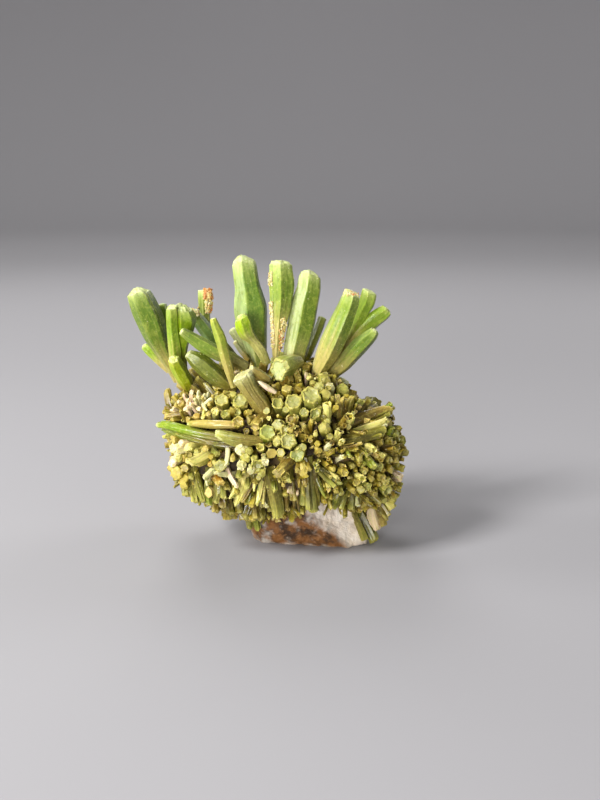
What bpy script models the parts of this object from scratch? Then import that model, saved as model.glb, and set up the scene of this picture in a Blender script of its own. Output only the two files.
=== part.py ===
"""A pyromorphite specimen: green six-sided prisms on a knobbly crust, with a pale rock foot.

Front is -Y, right is +X and up is +Z. The foot's broken base lies on the ground plane.
Sizes in this file are millimetres, and each mesh is made at that size times MM.
"""
import math
import random
from collections import namedtuple

import bmesh
import bpy
from mathutils import Matrix, Vector

MM = 0.001
SIDES = 6
CLEARANCE = 0.3
GROUND_GAP = 0.6

# Places along a prism where its distance from a neighbour is taken.
GAP_STEPS = 12

# Parts of a prism's width at its tip.
END_BEVEL = 0.13
PIT_RIM = 0.2
PIT_DEPTH = 0.22

# Where the whole group stands, so that the middle of its bounds is over the origin.
SHIFT = Vector((-0.5, -0.2, 0.0))

# A prism runs from its foot to its tip. The widths are across corners, at the foot, at a
# third, at two thirds and at the tip. The turn is in degrees about the prism's own axis.
Prism = namedtuple("Prism", "foot tip widths turn", defaults=(0,))

LEFT_SPRAY = [
    Prism((-9.9, 0.9, 16.2), (-14.8, -1.0, 29.9), (1.5, 2.4, 3.3, 2.7), 8),
    Prism((-10.9, 0.9, 18.6), (-14.9, 1.6, 23.0), (1.3, 1.3, 1.2, 0.9), 20),
    Prism((-10.4, 1.1, 17.6), (-12.4, 2.2, 28.0), (1.2, 1.4, 1.3, 0.9), 5),
    Prism((-9.8, -0.1, 16.6), (-9.9, -3.0, 28.1), (1.6, 2.1, 2.8, 3.1), 24),
    Prism((-9.2, -1.0, 16.6), (-10.5, -4.3, 22.3), (1.5, 1.8, 1.8, 1.3), 15),
]
LEFT_REAR_SPRAY = [
    Prism((-3.2, 3.1, 18.6), (-8.8, 1.6, 27.1), (1.4, 1.8, 2.1, 1.6), 12),
    Prism((-6.0, 2.8, 17.0), (-7.2, 3.7, 29.0), (1.2, 1.5, 1.6, 1.8), 30),
]
SLENDER_PRISM = [Prism((-1.7, -2.0, 19.3), (-9.4, -4.8, 25.8), (1.2, 1.4, 1.5, 1.1), 10)]
OLIVE_PRISM = [Prism((-3.0, -2.8, 17.1), (-8.5, -3.9, 22.6), (1.8, 2.1, 2.3, 1.7), 0)]
UPRIGHT_PRISM = [Prism((-3.2, -5.0, 17.0), (-6.0, -5.0, 27.3), (0.9, 1.3, 1.4, 0.8), 18)]
TALL_PRISM_LEFT = [
    Prism((-0.5, 2.2, 18.4), (-2.8, 2.4, 33.0), (2.5, 3.7, 3.7, 2.7), 14),
    Prism((-1.3, 2.6, 19.0), (-4.4, 3.8, 24.9), (1.3, 1.5, 1.5, 1.1), 40),
]
LIME_PRISM = [Prism((-0.1, -1.5, 19.4), (-2.9, -1.9, 27.3), (0.7, 0.9, 1.4, 1.6), 25)]
TALL_PRISM_MIDDLE = [Prism((0.9, -0.6, 18.7), (1.5, 1.2, 32.7), (1.1, 1.6, 2.7, 2.8), 4)]
TALL_PRISM_RIGHT = [Prism((2.9, 0.5, 18.4), (5.1, 1.4, 31.6), (2.6, 2.9, 3.1, 2.6), 20)]
SMALL_REAR_PRISM = [Prism((4.0, 3.6, 18.4), (6.5, 4.4, 26.1), (1.2, 1.4, 1.5, 1.2), 0)]
RIGHT_SPRAY = [
    Prism((5.4, -0.6, 17.9), (9.6, -2.2, 29.8), (2.2, 3.0, 3.3, 2.5), 22),
    Prism((6.9, 1.4, 18.2), (11.8, 1.4, 29.5), (1.8, 2.2, 2.4, 2.0), 10),
    Prism((7.6, 1.3, 20.2), (14.1, 1.6, 27.4), (1.5, 2.0, 2.2, 1.5), 0),
    Prism((6.9, 0.2, 17.8), (12.2, -1.8, 25.3), (2.0, 2.5, 2.5, 1.4), 28),
]
BROKEN_PRISM = [Prism((0.1, -6.4, 15.8), (-2.7, -7.2, 21.3), (2.0, 2.1, 2.1, 2.1), 15)]
LEFT_SIDE_SPRAY = [
    Prism((-5.6, -7.2, 14.6), (-13.0, -1.2, 13.9), (1.6, 1.9, 1.6, 0.8), 0),
    Prism((-2.3, -8.2, 14.0), (-10.0, -4.2, 13.0), (1.6, 1.6, 1.5, 0.9), 12),
    Prism((-0.6, -8.7, 14.2), (-5.7, -8.6, 15.1), (1.4, 1.6, 1.5, 1.1), 30),
    Prism((-3.2, -8.1, 15.3), (-8.8, -5.2, 15.4), (1.0, 1.0, 1.0, 0.7), 0),
]

# Prisms of the crust that can be told apart: the tip, the width and the kind of end.
# Each points away from the line of growth and stands rooted in the crust.
Bud = namedtuple("Bud", "tip wide end", defaults=("flat",))

BUDS = [
    Bud((6.8, -2.8, 19.8), 1.6),
    Bud((1.4, -7.4, 18.3), 1.5, "hollow"),
    Bud((3.1, -8.0, 18.5), 2.2),
    Bud((5.0, -6.8, 19.0), 2.3, "hollow"),
    Bud((4.2, -8.3, 17.3), 1.2, "hollow"),
    Bud((5.6, -8.2, 17.2), 1.3, "hollow"),
    Bud((2.4, -5.2, 19.4), 1.1),
    Bud((-2.9, -6.6, 18.3), 1.8),
    Bud((-5.2, -5.2, 18.1), 1.5),
    Bud((-3.3, -8.3, 16.4), 1.6),
    Bud((-5.0, -7.0, 16.9), 1.0),
    Bud((-2.2, -9.9, 13.1), 1.7),
    Bud((-0.6, -10.4, 13.4), 1.1, "hollow"),
    Bud((-0.8, -10.6, 11.6), 1.7, "hollow"),
    Bud((-2.7, -9.6, 11.3), 1.5),
    Bud((0.4, -9.8, 15.6), 1.9),
    Bud((1.8, -9.4, 16.3), 1.7),
    Bud((2.5, -10.3, 14.6), 2.0, "hollow"),
    Bud((3.6, -10.3, 12.9), 1.7),
    Bud((6.3, -9.3, 15.3), 1.7),
    Bud((9.3, -7.4, 16.5), 1.4, "hollow"),
    Bud((7.1, -7.2, 17.8), 1.4, "hollow"),
    Bud((8.8, -6.0, 18.2), 1.9),
    Bud((12.3, -7.2, 12.9), 1.0, "hollow"),
    Bud((5.2, -10.2, 13.9), 1.0),
    Bud((7.4, -9.7, 13.2), 1.2),
    Bud((9.4, -9.0, 12.2), 1.3),
    Bud((7.0, -9.9, 10.9), 1.3),
    Bud((10.9, -8.0, 10.4), 1.5),
    Bud((8.9, -8.9, 8.9), 1.4),
    Bud((13.1, -6.2, 9.2), 1.4),
    Bud((14.0, -5.4, 6.8), 1.6),
    Bud((11.4, -7.2, 6.3), 1.5),
    Bud((15.9, -2.4, 12.4), 1.6),
    Bud((16.2, -1.8, 9.2), 1.5),
    Bud((16.3, -1.5, 5.0), 1.7),
    Bud((14.6, -3.2, 3.1), 1.5),
    Bud((14.4, -0.2, 16.0), 1.4),
    Bud((12.0, -2.2, 17.6), 1.5),
    Bud((10.4, -3.4, 18.2), 1.4),
    Bud((-8.7, -7.0, 11.4), 1.9),
    Bud((-10.6, -4.6, 9.6), 1.5),
    Bud((-10.7, -4.4, 12.0), 1.5),
    Bud((-11.9, -0.8, 17.4), 1.3),
    Bud((-11.9, -1.0, 10.8), 1.4),
    Bud((-11.4, -1.2, 7.2), 1.5),
    Bud((-10.0, -2.0, 5.2), 1.5),
    Bud((-7.4, -3.4, 3.7), 1.6),
    Bud((-7.8, -6.4, 7.0), 1.5),
    Bud((-5.6, -8.0, 8.4), 1.4),
    Bud((-6.3, -8.2, 11.4), 1.4),
    Bud((-4.2, -9.0, 9.4), 1.1),
    Bud((-3.9, -8.6, 6.6), 1.3),
    Bud((-1.6, -9.2, 7.8), 1.0),
    Bud((0.9, -9.8, 9.2), 1.4),
    Bud((1.6, -8.8, 5.6), 1.5),
    Bud((5.4, -9.4, 7.2), 1.4),
    Bud((-2.0, -6.0, 3.0), 1.8),
    Bud((-4.4, -6.0, 4.4), 1.4),
    Bud((-8.0, -5.0, 17.0), 1.1),
    Bud((-5.0, 8.6, 19.6), 1.9),
    Bud((1.6, 9.2, 19.8), 2.1),
    Bud((8.6, 8.6, 16.6), 1.9),
    Bud((-9.4, 5.8, 18.6), 1.7),
    Bud((12.8, 5.6, 15.2), 1.7),
]

# Prisms of the crust that do not follow the line of growth.
SIDE_BUDS = [
    Prism((4.4, -1.2, 19.4), (0.9, -3.7, 20.9), (2.0, 2.1, 2.2, 2.1), 5),
    Prism((10.0, -4.6, 15.4), (14.4, -2.4, 16.7), (1.2, 1.2, 1.4, 1.7), 10),
    Prism((10.0, -5.4, 14.2), (14.1, -3.2, 15.1), (1.0, 1.0, 1.0, 1.1), 0),
    Prism((9.6, -6.0, 13.2), (13.6, -4.9, 14.3), (1.0, 1.0, 1.0, 1.0), 20),
    Prism((1.6, -4.2, 18.0), (-2.4, -4.7, 21.7), (1.2, 1.2, 1.2, 1.2), 12),
    Prism((10.4, -3.2, 6.0), (11.2, -5.6, 2.0), (1.4, 1.4, 1.3, 1.0), 0),
    Prism((12.0, -2.6, 6.0), (12.8, -4.6, 1.4), (1.6, 1.7, 1.7, 1.3), 15),
    Prism((7.6, -5.0, 9.0), (8.2, -8.3, 6.2), (1.4, 1.4, 1.3, 1.1), 0),
]

# The crust's own lump, without its prisms.
LUMP_CENTRE = Vector((1.9, 0.3, 10.8))
LUMP_RADII = Vector((12.7, 8.8, 7.8))
LUMP_SQUARENESS = 2.6
LUMP_SUBDIVISIONS = 2
# Each swelling has a direction from the lump's centre, a part of the radius and a spread.
SWELLINGS = [
    (Vector((-0.05, -0.1, 1.0)), 0.16, 0.45),
    (Vector((-0.85, 0.0, 0.45)), 0.08, 0.35),
    (Vector((0.9, -0.3, -0.35)), 0.05, 0.4),
    (Vector((-0.6, 0.1, -0.8)), -0.12, 0.4),
    (Vector((0.4, -0.6, -0.7)), -0.2, 0.35),
]
RIPPLE_HEIGHT = 0.03
RIPPLES = Vector((5.0, 6.0, 7.0))

# The line that the small prisms grow away from.
GROWTH_LEFT = Vector((-4.5, 0.8, 11.5))
GROWTH_RIGHT = Vector((8.0, 0.8, 10.5))

SMALL_COUNT = 430
SMALL_SEED = 11
SMALL_WIDE = (0.9, 1.6)
SMALL_STANDS_OUT = (0.9, 2.1)
SMALL_LEAN = 0.4
SMALL_ROOT = 1.9
# How far a small prism may run into a larger one of the crust.
SMALL_OVERLAP = 0.3
# A bud starts at this part of the way from the line of growth to its tip.
BUD_ROOT = 0.55
# The width at the root of a bud or a small prism, as a part of its width at the tip.
ROOT_TAPER = 0.8
# Buds are turned about their axes by degrees for each millimetre along X and Z.
BUD_TURN = Vector((23.0, 0.0, 17.0))
GOLDEN_ANGLE = math.pi * (3 - math.sqrt(5))

# The rock foot is what is left between these broken faces: a point on each, and its
# outward direction.
BREAKS = [
    (Vector((4.0, 0.0, 0.0)), Vector((0.0, 0.0, -1.0))),
    (Vector((4.0, 0.0, 6.8)), Vector((0.1, -0.1, 1.0))),
    (Vector((3.2, -6.0, 6.2)), Vector((0.5, -0.8, 0.17))),
    (Vector((3.2, -6.0, 6.2)), Vector((-0.15, -0.8, -0.345))),
    (Vector((12.0, -1.0, 1.0)), Vector((1.0, -0.15, -0.1))),
    (Vector((4.0, 6.8, 2.0)), Vector((0.1, 1.0, -0.25))),
    (Vector((11.0, 4.6, 1.0)), Vector((0.7, 0.7, 0.1))),
    (Vector((11.3, 1.5, 0.8)), Vector((0.85, 0.2, -0.5))),
    (Vector((9.0, 5.5, 0.8)), Vector((0.35, 0.8, -0.6))),
    (Vector((1.5, 6.0, 1.0)), Vector((-0.2, 0.85, -0.5))),
    (Vector((11.2, -2.2, 3.0)), Vector((0.9, -0.5, 0.4))),
    (Vector((-1.8, 1.0, 1.0)), Vector((-1.0, 0.05, -0.25))),
    (Vector((-1.4, -2.4, 1.0)), Vector((-0.7, -0.65, -0.3))),
    (Vector((-0.8, 5.4, 1.0)), Vector((-0.6, 0.75, 0.0))),
]
ROCK_BLOCK = 30.0

CRUST_GREEN = (0.38, 0.42, 0.13)
PRISM_GREEN = (0.26, 0.42, 0.10)
OLIVE = (0.33, 0.37, 0.16)
LIME = (0.42, 0.62, 0.05)
TAN = (0.50, 0.45, 0.24)
ROCK = (0.62, 0.55, 0.47)
WAXY = 0.42
ROUGH = 0.85


def clear_scene():
    """Removes the start-up objects."""
    for thing in list(bpy.data.objects):
        bpy.data.objects.remove(thing)


def new_collection(name):
    """Makes a collection in the scene."""
    made = bpy.data.collections.new(name)
    bpy.context.scene.collection.children.link(made)
    return made


def material(name, colour, roughness):
    """Makes a plain material that is no metal."""
    made = bpy.data.materials.new(name)
    made.use_nodes = True
    shader = made.node_tree.nodes["Principled BSDF"]
    shader.inputs["Base Color"].default_value = (*colour, 1.0)
    shader.inputs["Roughness"].default_value = roughness
    shader.inputs["Metallic"].default_value = 0.0
    return made


def prism_shape(prism, end="flat", extra=0.0):
    """Returns a mesh in the making with one closed prism in its place.

    The end is flat, bevelled or hollow. Extra widens and lengthens the prism all round.
    """
    foot = Vector(prism.foot)
    tip = Vector(prism.tip)
    length = (tip - foot).length + 2 * extra
    shape = bmesh.new()
    bmesh.ops.create_cone(
        shape, cap_ends=True, segments=SIDES, radius1=1.0, radius2=1.0, depth=length
    )
    rising = [edge for edge in shape.edges if edge.verts[0].co.z != edge.verts[1].co.z]
    if len(set(prism.widths)) > 1:
        bmesh.ops.subdivide_edges(shape, edges=rising, cuts=len(prism.widths) - 2)
    for vert in shape.verts:
        along = vert.co.z / length + 0.5
        radius = value_along(prism.widths, along) / 2 + extra
        vert.co.x *= radius
        vert.co.y *= radius
    finish_end(shape, prism.widths[-1], end)
    turn = Matrix.Rotation(math.radians(prism.turn), 4, "Z")
    stand = (tip - foot).to_track_quat("Z", "Y").to_matrix().to_4x4()
    middle = Matrix.Translation((foot + tip) / 2)
    bmesh.ops.transform(shape, matrix=middle @ stand @ turn, verts=shape.verts)
    return shape


def value_along(values, along):
    """Reads a list of evenly spaced values at a place from 0 to 1."""
    place = min(max(along, 0.0), 1.0) * (len(values) - 1)
    low = min(int(place), len(values) - 2)
    return values[low] + (values[low + 1] - values[low]) * (place - low)


def finish_end(shape, wide, end):
    """Wears the rim of the prism's end away, or sinks the end into a shallow pit."""
    cap = max(shape.faces, key=lambda face: face.calc_center_median().z)
    if end == "bevelled":
        bmesh.ops.bevel(
            shape,
            geom=list(cap.edges),
            offset=END_BEVEL * wide,
            segments=1,
            affect="EDGES",
        )
    elif end == "hollow":
        bmesh.ops.inset_region(
            shape, faces=[cap], thickness=PIT_RIM * wide, depth=-PIT_DEPTH * wide
        )


def lump_radius(direction):
    """The distance from the lump's centre to its surface."""
    power = LUMP_SQUARENESS
    total = sum(abs(direction[i] / LUMP_RADII[i]) ** power for i in range(3))
    radius = total ** (-1 / power)
    for toward, part, spread in SWELLINGS:
        angle = direction.angle(toward)
        radius *= 1 + part * math.exp(-((angle / spread) ** 2))
    waves = [math.sin(RIPPLES[i] * direction[i] + i) for i in range(3)]
    return radius * (1 + RIPPLE_HEIGHT * sum(waves))


def lump_shape():
    """Returns the crust's lump, a sphere pushed out to its radius in every direction."""
    shape = bmesh.new()
    bmesh.ops.create_icosphere(shape, subdivisions=LUMP_SUBDIVISIONS, radius=1.0)
    for vert in shape.verts:
        direction = vert.co.normalized()
        vert.co = LUMP_CENTRE + direction * lump_radius(direction)
    return shape


def growth_root(point):
    """The point on the line of growth that is nearest to this one."""
    line = GROWTH_RIGHT - GROWTH_LEFT
    along = (point - GROWTH_LEFT).dot(line) / line.length_squared
    return GROWTH_LEFT + line * min(max(along, 0.0), 1.0)


def bud_prism(bud):
    """The prism of a bud, from inside the lump out to its tip."""
    tip = Vector(bud.tip)
    foot = growth_root(tip).lerp(tip, BUD_ROOT)
    widths = (bud.wide * ROOT_TAPER, bud.wide)
    return Prism(tuple(foot), tuple(tip), widths, tip.dot(BUD_TURN))


def nearest_gap(first, second):
    """The distance between the middles of two prisms, less both of their half widths."""
    start = Vector(second.foot)
    line = Vector(second.tip) - start
    best = math.inf
    for step in range(GAP_STEPS + 1):
        part = step / GAP_STEPS
        point = Vector(first.foot).lerp(Vector(first.tip), part)
        along = min(max((point - start).dot(line) / line.length_squared, 0.0), 1.0)
        apart = (point - start - line * along).length
        wide = value_along(first.widths, part) + value_along(second.widths, along)
        best = min(best, apart - wide / 2)
    return best


def in_rock(prism, margin):
    """Whether a prism comes within the margin of the rock foot."""
    for step in range(GAP_STEPS + 1):
        point = Vector(prism.foot).lerp(Vector(prism.tip), step / GAP_STEPS)
        reach = margin + max(prism.widths) / 2
        if all((point - on).dot(out.normalized()) < reach for on, out in BREAKS):
            return True
    return False


def lowest(prism):
    """The height of a prism's lowest point, taken generously."""
    return min(prism.foot[2], prism.tip[2]) - max(prism.widths) / 2


def small_prisms(standing, buds):
    """Spreads small prisms evenly over the lump, where nothing larger stands."""
    chance = random.Random(SMALL_SEED)
    found = []
    for i in range(SMALL_COUNT):
        height = 1 - 2 * (i + 0.5) / SMALL_COUNT
        around = GOLDEN_ANGLE * i
        level = math.sqrt(1 - height * height)
        direction = Vector((level * math.cos(around), level * math.sin(around), height))
        surface = LUMP_CENTRE + direction * lump_radius(direction)
        lean = Vector([chance.uniform(-SMALL_LEAN, SMALL_LEAN) for _ in range(3)])
        out = ((surface - growth_root(surface)).normalized() + lean).normalized()
        wide = chance.uniform(*SMALL_WIDE)
        tip = surface + out * chance.uniform(*SMALL_STANDS_OUT)
        foot = surface - out * SMALL_ROOT
        prism = Prism(tuple(foot), tuple(tip), (wide * ROOT_TAPER, wide), chance.uniform(0, 60))
        if lowest(prism) < GROUND_GAP or in_rock(prism, CLEARANCE):
            continue
        if any(nearest_gap(prism, other) < CLEARANCE for other in standing):
            continue
        if any(nearest_gap(prism, other) < -SMALL_OVERLAP for other in buds):
            continue
        found.append(prism)
    print("small prisms:", len(found))
    return found


def rock_shape(extra=0.0):
    """Returns a block of rock broken along each of the faces, with extra left on all."""
    shape = bmesh.new()
    bmesh.ops.create_cube(shape, size=ROCK_BLOCK)
    bmesh.ops.translate(shape, vec=BREAKS[0][0], verts=shape.verts)
    for on, out in BREAKS:
        out = out.normalized()
        whole = shape.verts[:] + shape.edges[:] + shape.faces[:]
        cut = bmesh.ops.bisect_plane(
            shape, geom=whole, plane_co=on + out * extra, plane_no=out, clear_outer=True
        )
        rim = [piece for piece in cut["geom_cut"] if isinstance(piece, bmesh.types.BMEdge)]
        bmesh.ops.edgeloop_fill(shape, edges=rim)
    bmesh.ops.recalc_face_normals(shape, faces=shape.faces)
    return shape


def add_object(name, shape, place, stuff=None):
    """Turns a shape in millimetres into an object of the collection."""
    bmesh.ops.scale(shape, vec=(MM, MM, MM), verts=shape.verts)
    mesh = bpy.data.meshes.new(name)
    shape.to_mesh(mesh)
    shape.free()
    made = bpy.data.objects.new(name, mesh)
    made.location = SHIFT * MM
    place.objects.link(made)
    if stuff:
        mesh.materials.append(stuff)
    return made


def hide_in(collection):
    """Keeps a collection of helpers out of the picture."""
    collection.hide_render = True
    for thing in collection.objects:
        thing.hide_render = True
        thing.display_type = "WIRE"


def join_with(made, operation, others):
    """Joins a collection of solids to the object, or cuts them from it."""
    step = made.modifiers.new(operation.lower(), "BOOLEAN")
    step.operation = operation
    step.operand_type = "COLLECTION"
    step.collection = others
    step.solver = "EXACT"


def prism_group(name, prisms, place, stuff):
    """One solid of prisms that have grown together."""
    made = add_object(name, prism_shape(prisms[0], "bevelled"), place, stuff)
    if len(prisms) > 1:
        others = new_collection(name + "_others")
        for i, prism in enumerate(prisms[1:]):
            add_object(f"{name}_helper_{i}", prism_shape(prism, "bevelled"), others)
        hide_in(others)
        join_with(made, "UNION", others)
    return made


def crust(place, stuff, standing):
    """The lump with all its small prisms, and a socket for each piece that stands in it."""
    buds = [bud_prism(bud) for bud in BUDS]
    ends = [bud.end for bud in BUDS]
    made = add_object("crust", lump_shape(), place, stuff)
    growth = new_collection("crust_growth")
    for i, prism in enumerate(buds):
        add_object(f"crust_bud_{i}", prism_shape(prism, ends[i]), growth)
    for i, prism in enumerate(SIDE_BUDS):
        add_object(f"crust_side_{i}", prism_shape(prism), growth)
    for i, prism in enumerate(small_prisms(standing, buds + SIDE_BUDS)):
        add_object(f"crust_small_{i}", prism_shape(prism), growth)
    hide_in(growth)
    join_with(made, "UNION", growth)
    sockets = new_collection("crust_sockets")
    for i, prism in enumerate(standing):
        add_object(f"crust_socket_{i}", prism_shape(prism, "flat", CLEARANCE), sockets)
    add_object("crust_socket_rock", rock_shape(CLEARANCE), sockets)
    hide_in(sockets)
    join_with(made, "DIFFERENCE", sockets)
    return made


def build():
    """Builds the whole specimen."""
    clear_scene()
    place = new_collection("pyromorphite")
    green = material("prism_green", PRISM_GREEN, WAXY)
    olive = material("prism_olive", OLIVE, WAXY)
    lime = material("prism_lime", LIME, WAXY)
    tan = material("prism_tan", TAN, WAXY)
    groups = [
        ("left_spray", LEFT_SPRAY, green),
        ("left_rear_spray", LEFT_REAR_SPRAY, green),
        ("slender_prism", SLENDER_PRISM, olive),
        ("olive_prism", OLIVE_PRISM, olive),
        ("upright_prism", UPRIGHT_PRISM, olive),
        ("tall_prism_left", TALL_PRISM_LEFT, green),
        ("lime_prism", LIME_PRISM, lime),
        ("tall_prism_middle", TALL_PRISM_MIDDLE, green),
        ("tall_prism_right", TALL_PRISM_RIGHT, green),
        ("small_rear_prism", SMALL_REAR_PRISM, olive),
        ("right_spray", RIGHT_SPRAY, green),
        ("broken_prism", BROKEN_PRISM, tan),
        ("left_side_spray", LEFT_SIDE_SPRAY, olive),
    ]
    standing = []
    for name, prisms, stuff in groups:
        prism_group(name, prisms, place, stuff)
        standing += prisms
    crust(place, material("crust_green", CRUST_GREEN, WAXY), standing)
    add_object("matrix", rock_shape(), place, material("pale_rock", ROCK, ROUGH))


build()
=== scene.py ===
# %% [markdown]
# Pyromorphite grows as six-sided prisms that stand apart at the top of this specimen and
# crowd into a knobbly crust below, on a broken piece of pale rock. The solids of the frame
# give every piece its place. Here each of them gets the surface of the real mineral:
# ribbed sides, worn and hollow ends, and the green that fades to tan towards the roots.

import math
import random
from collections import namedtuple

import bmesh
import bpy
import numpy as np
from mathutils import Euler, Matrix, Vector, noise
from mathutils.bvhtree import BVHTree


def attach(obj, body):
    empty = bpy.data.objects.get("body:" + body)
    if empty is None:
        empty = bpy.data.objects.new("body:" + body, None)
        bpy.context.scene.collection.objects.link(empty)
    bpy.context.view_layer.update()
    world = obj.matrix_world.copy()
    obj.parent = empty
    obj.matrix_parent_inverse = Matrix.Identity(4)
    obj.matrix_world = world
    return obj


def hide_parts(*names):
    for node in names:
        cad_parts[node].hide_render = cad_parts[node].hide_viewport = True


noise.seed_set(11)
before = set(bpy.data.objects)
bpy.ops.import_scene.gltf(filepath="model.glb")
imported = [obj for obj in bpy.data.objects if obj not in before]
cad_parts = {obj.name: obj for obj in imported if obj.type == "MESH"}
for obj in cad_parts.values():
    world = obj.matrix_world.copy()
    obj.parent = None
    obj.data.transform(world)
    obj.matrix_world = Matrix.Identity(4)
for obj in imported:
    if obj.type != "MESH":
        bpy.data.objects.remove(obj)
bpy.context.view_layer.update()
print("solids in the frame:", len(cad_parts))

# %% [markdown]
# Everything is worked out in millimetres, because a crystal of three millimetres is easier
# to think about than one of 0.003 metres, and is made smaller by MM at the very end.
# Front is -Y, right is +X and up is +Z. SHIFT is where the group stands over the origin.
# A colour is written as a screen would show it, and paint turns it into the linear light
# that a shader works with.

# %% Units and colours
MM = 0.001
SHIFT = Vector((-0.5, -0.2, 0.0))


def paint(red, green, blue):
    """A colour from 0 to 255 as linear light."""
    return tuple((c / 255 / 12.92) if c < 10.3 else ((c / 255 + 0.055) / 1.055) ** 2.4 for c in (red, green, blue))


def blend(first, second, part):
    """A colour between two others."""
    return tuple(a * (1 - part) + b * part for a, b in zip(first, second))


GREEN = paint(112, 146, 34)
BLUE_GREEN = paint(118, 148, 74)
LIME = paint(152, 184, 2)
BRIGHT = paint(142, 168, 28)
OLIVE = paint(114, 108, 18)
GREY_GREEN = paint(136, 150, 62)
PALE = paint(170, 176, 84)
FROST = paint(228, 224, 182)
YELLOW = paint(182, 150, 24)
AMBER = paint(200, 130, 16)
TAN = paint(154, 122, 46)
SAND = paint(198, 162, 78)
PINK = paint(246, 218, 196)
CREAM = paint(230, 220, 134)
BROWN = paint(62, 42, 12)
RIM = paint(230, 230, 180)
OCHRE_RIM = paint(210, 194, 96)
print("green as linear light:", [round(part, 3) for part in GREEN])

# %% [markdown]
# The camera looks a little down on the specimen, as the photograph does. Its lens and
# place also serve as a measuring tool: a ray through a pixel of the picture, followed to a
# known depth, gives a real place in millimetres.

# %% Camera and rays
PICTURE = (600, 800)
LENS = 52.0
SENSOR = 36.0
FOCAL = LENS / SENSOR * PICTURE[1]
EYE = Vector((3.3, -132.0, 48.4))
LOOK_DOWN = math.radians(13.5)
LOOK = Euler((math.pi / 2 - LOOK_DOWN, 0.0, 0.0))

camera_data = bpy.data.cameras.new("camera")
camera_data.lens = LENS
camera_data.sensor_width = SENSOR
camera_data.clip_start = 0.005
camera = bpy.data.objects.new("camera", camera_data)
camera.location = EYE * MM
camera.rotation_euler = LOOK
bpy.context.scene.collection.objects.link(camera)
bpy.context.scene.camera = camera


def ray(u, v):
    """The way that a pixel of the picture looks, one unit along the camera's own axis."""
    aside = (u - PICTURE[0] / 2) / FOCAL
    above = (PICTURE[1] / 2 - v) / FOCAL
    return LOOK.to_matrix() @ Vector((aside, above, -1.0))


def at_depth(u, v, y):
    """The point behind a pixel that lies y millimetres back from the origin."""
    along = ray(u, v)
    return EYE + along * ((y - EYE.y) / along.y)


def pixel_size(point):
    """How many millimetres a pixel covers at a point."""
    return (LOOK.to_matrix() @ Vector((0, 0, -1))).dot(point - EYE) / FOCAL


print("a pixel covers", round(pixel_size(Vector((0, 0, 15))), 4), "mm at the specimen")

# %% [markdown]
# A plain pale floor that curves up all round keeps the background quiet from every side.
# It is a turned profile: a flat disc, a quarter of a circle and a low wall.

# %% Floor
FLOOR_RADIUS = 0.42
FLOOR_CURVE = 0.2
FLOOR_WALL = 0.15
FLOOR_STEPS = 12
FLOOR_SIDES = 96


def make_floor():
    """Turns the profile about the middle of the scene."""
    bend = [math.pi / 2 * i / FLOOR_STEPS for i in range(FLOOR_STEPS + 1)]
    profile = [(FLOOR_RADIUS + FLOOR_CURVE * math.sin(a), FLOOR_CURVE * (1 - math.cos(a))) for a in bend]
    profile.append((FLOOR_RADIUS + FLOOR_CURVE, FLOOR_CURVE + FLOOR_WALL))
    points = [(0.0, 0.0, 0.0)]
    for out, up in profile:
        turns = [2 * math.pi * k / FLOOR_SIDES for k in range(FLOOR_SIDES)]
        points += [(out * math.cos(turn), out * math.sin(turn), up) for turn in turns]
    faces = [(0, 1 + k, 1 + (k + 1) % FLOOR_SIDES) for k in range(FLOOR_SIDES)]
    for ring in range(len(profile) - 1):
        low = 1 + ring * FLOOR_SIDES
        for k in range(FLOOR_SIDES):
            after = (k + 1) % FLOOR_SIDES
            faces.append((low + k, low + FLOOR_SIDES + k, low + FLOOR_SIDES + after, low + after))
    mesh = bpy.data.meshes.new("floor")
    mesh.from_pydata(points, [], faces)
    mesh.shade_smooth()
    made = bpy.data.objects.new("floor", mesh)
    bpy.context.scene.collection.objects.link(made)
    return made


floor = make_floor()
paper = bpy.data.materials.new("floor_paper")
paper.use_nodes = True
paper.node_tree.nodes["Principled BSDF"].inputs["Base Color"].default_value = (0.33, 0.32, 0.33, 1.0)
paper.node_tree.nodes["Principled BSDF"].inputs["Roughness"].default_value = 0.9
floor.data.materials.append(paper)
print("floor reaches", FLOOR_RADIUS + FLOOR_CURVE, "m out")

# %% [markdown]
# One large soft light stands to the upper left of the camera. A weak one at the left side
# and a low one in front give the left faces of the prisms their pale shine, and the right
# faces are left a deeper green. Two lights stand behind, and an even grey sky opens up the
# gaps between the crystals. A ring of lights is turned away from the specimen to the foot of
# the wall, so that the background is even from every side.

# %% Light
def area_light(name, place, aim, size, power, spread=180):
    """A square soft light that faces the point it is aimed at. Lengths are millimetres."""
    data = bpy.data.lights.new(name, "AREA")
    data.spread = math.radians(spread)
    data.size = size * MM
    data.energy = power
    made = bpy.data.objects.new(name, data)
    made.location = Vector(place) * MM
    made.rotation_euler = (Vector(aim) - Vector(place)).to_track_quat("-Z", "Y").to_euler()
    made.visible_camera = False
    bpy.context.scene.collection.objects.link(made)
    return made


AIM = (0, 0, 16)
WALL_LIGHTS = 6
area_light("key_light", (-240, -168, 260), AIM, 105, 1.85)
area_light("side_light", (-230, 20, 100), AIM, 90, 0.1, 120)
area_light("fill_light", (210, -180, 90), AIM, 160, 0.03)
area_light("low_light", (-70, -230, 40), (0, 0, 4), 80, 0.2, 120)
area_light("back_light", (-60, 230, 230), AIM, 130, 0.2, 120)
area_light("rear_fill_light", (250, 150, 170), AIM, 150, 0.14, 120)
for k in range(WALL_LIGHTS):
    turn = 2 * math.pi * (k + 0.5) / WALL_LIGHTS
    out = Vector((math.cos(turn), math.sin(turn), 0))
    area_light(f"wall_light_{k}", out * 200 + Vector((0, 0, 300)), out * 480, 120, 0.28, 120)

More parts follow.
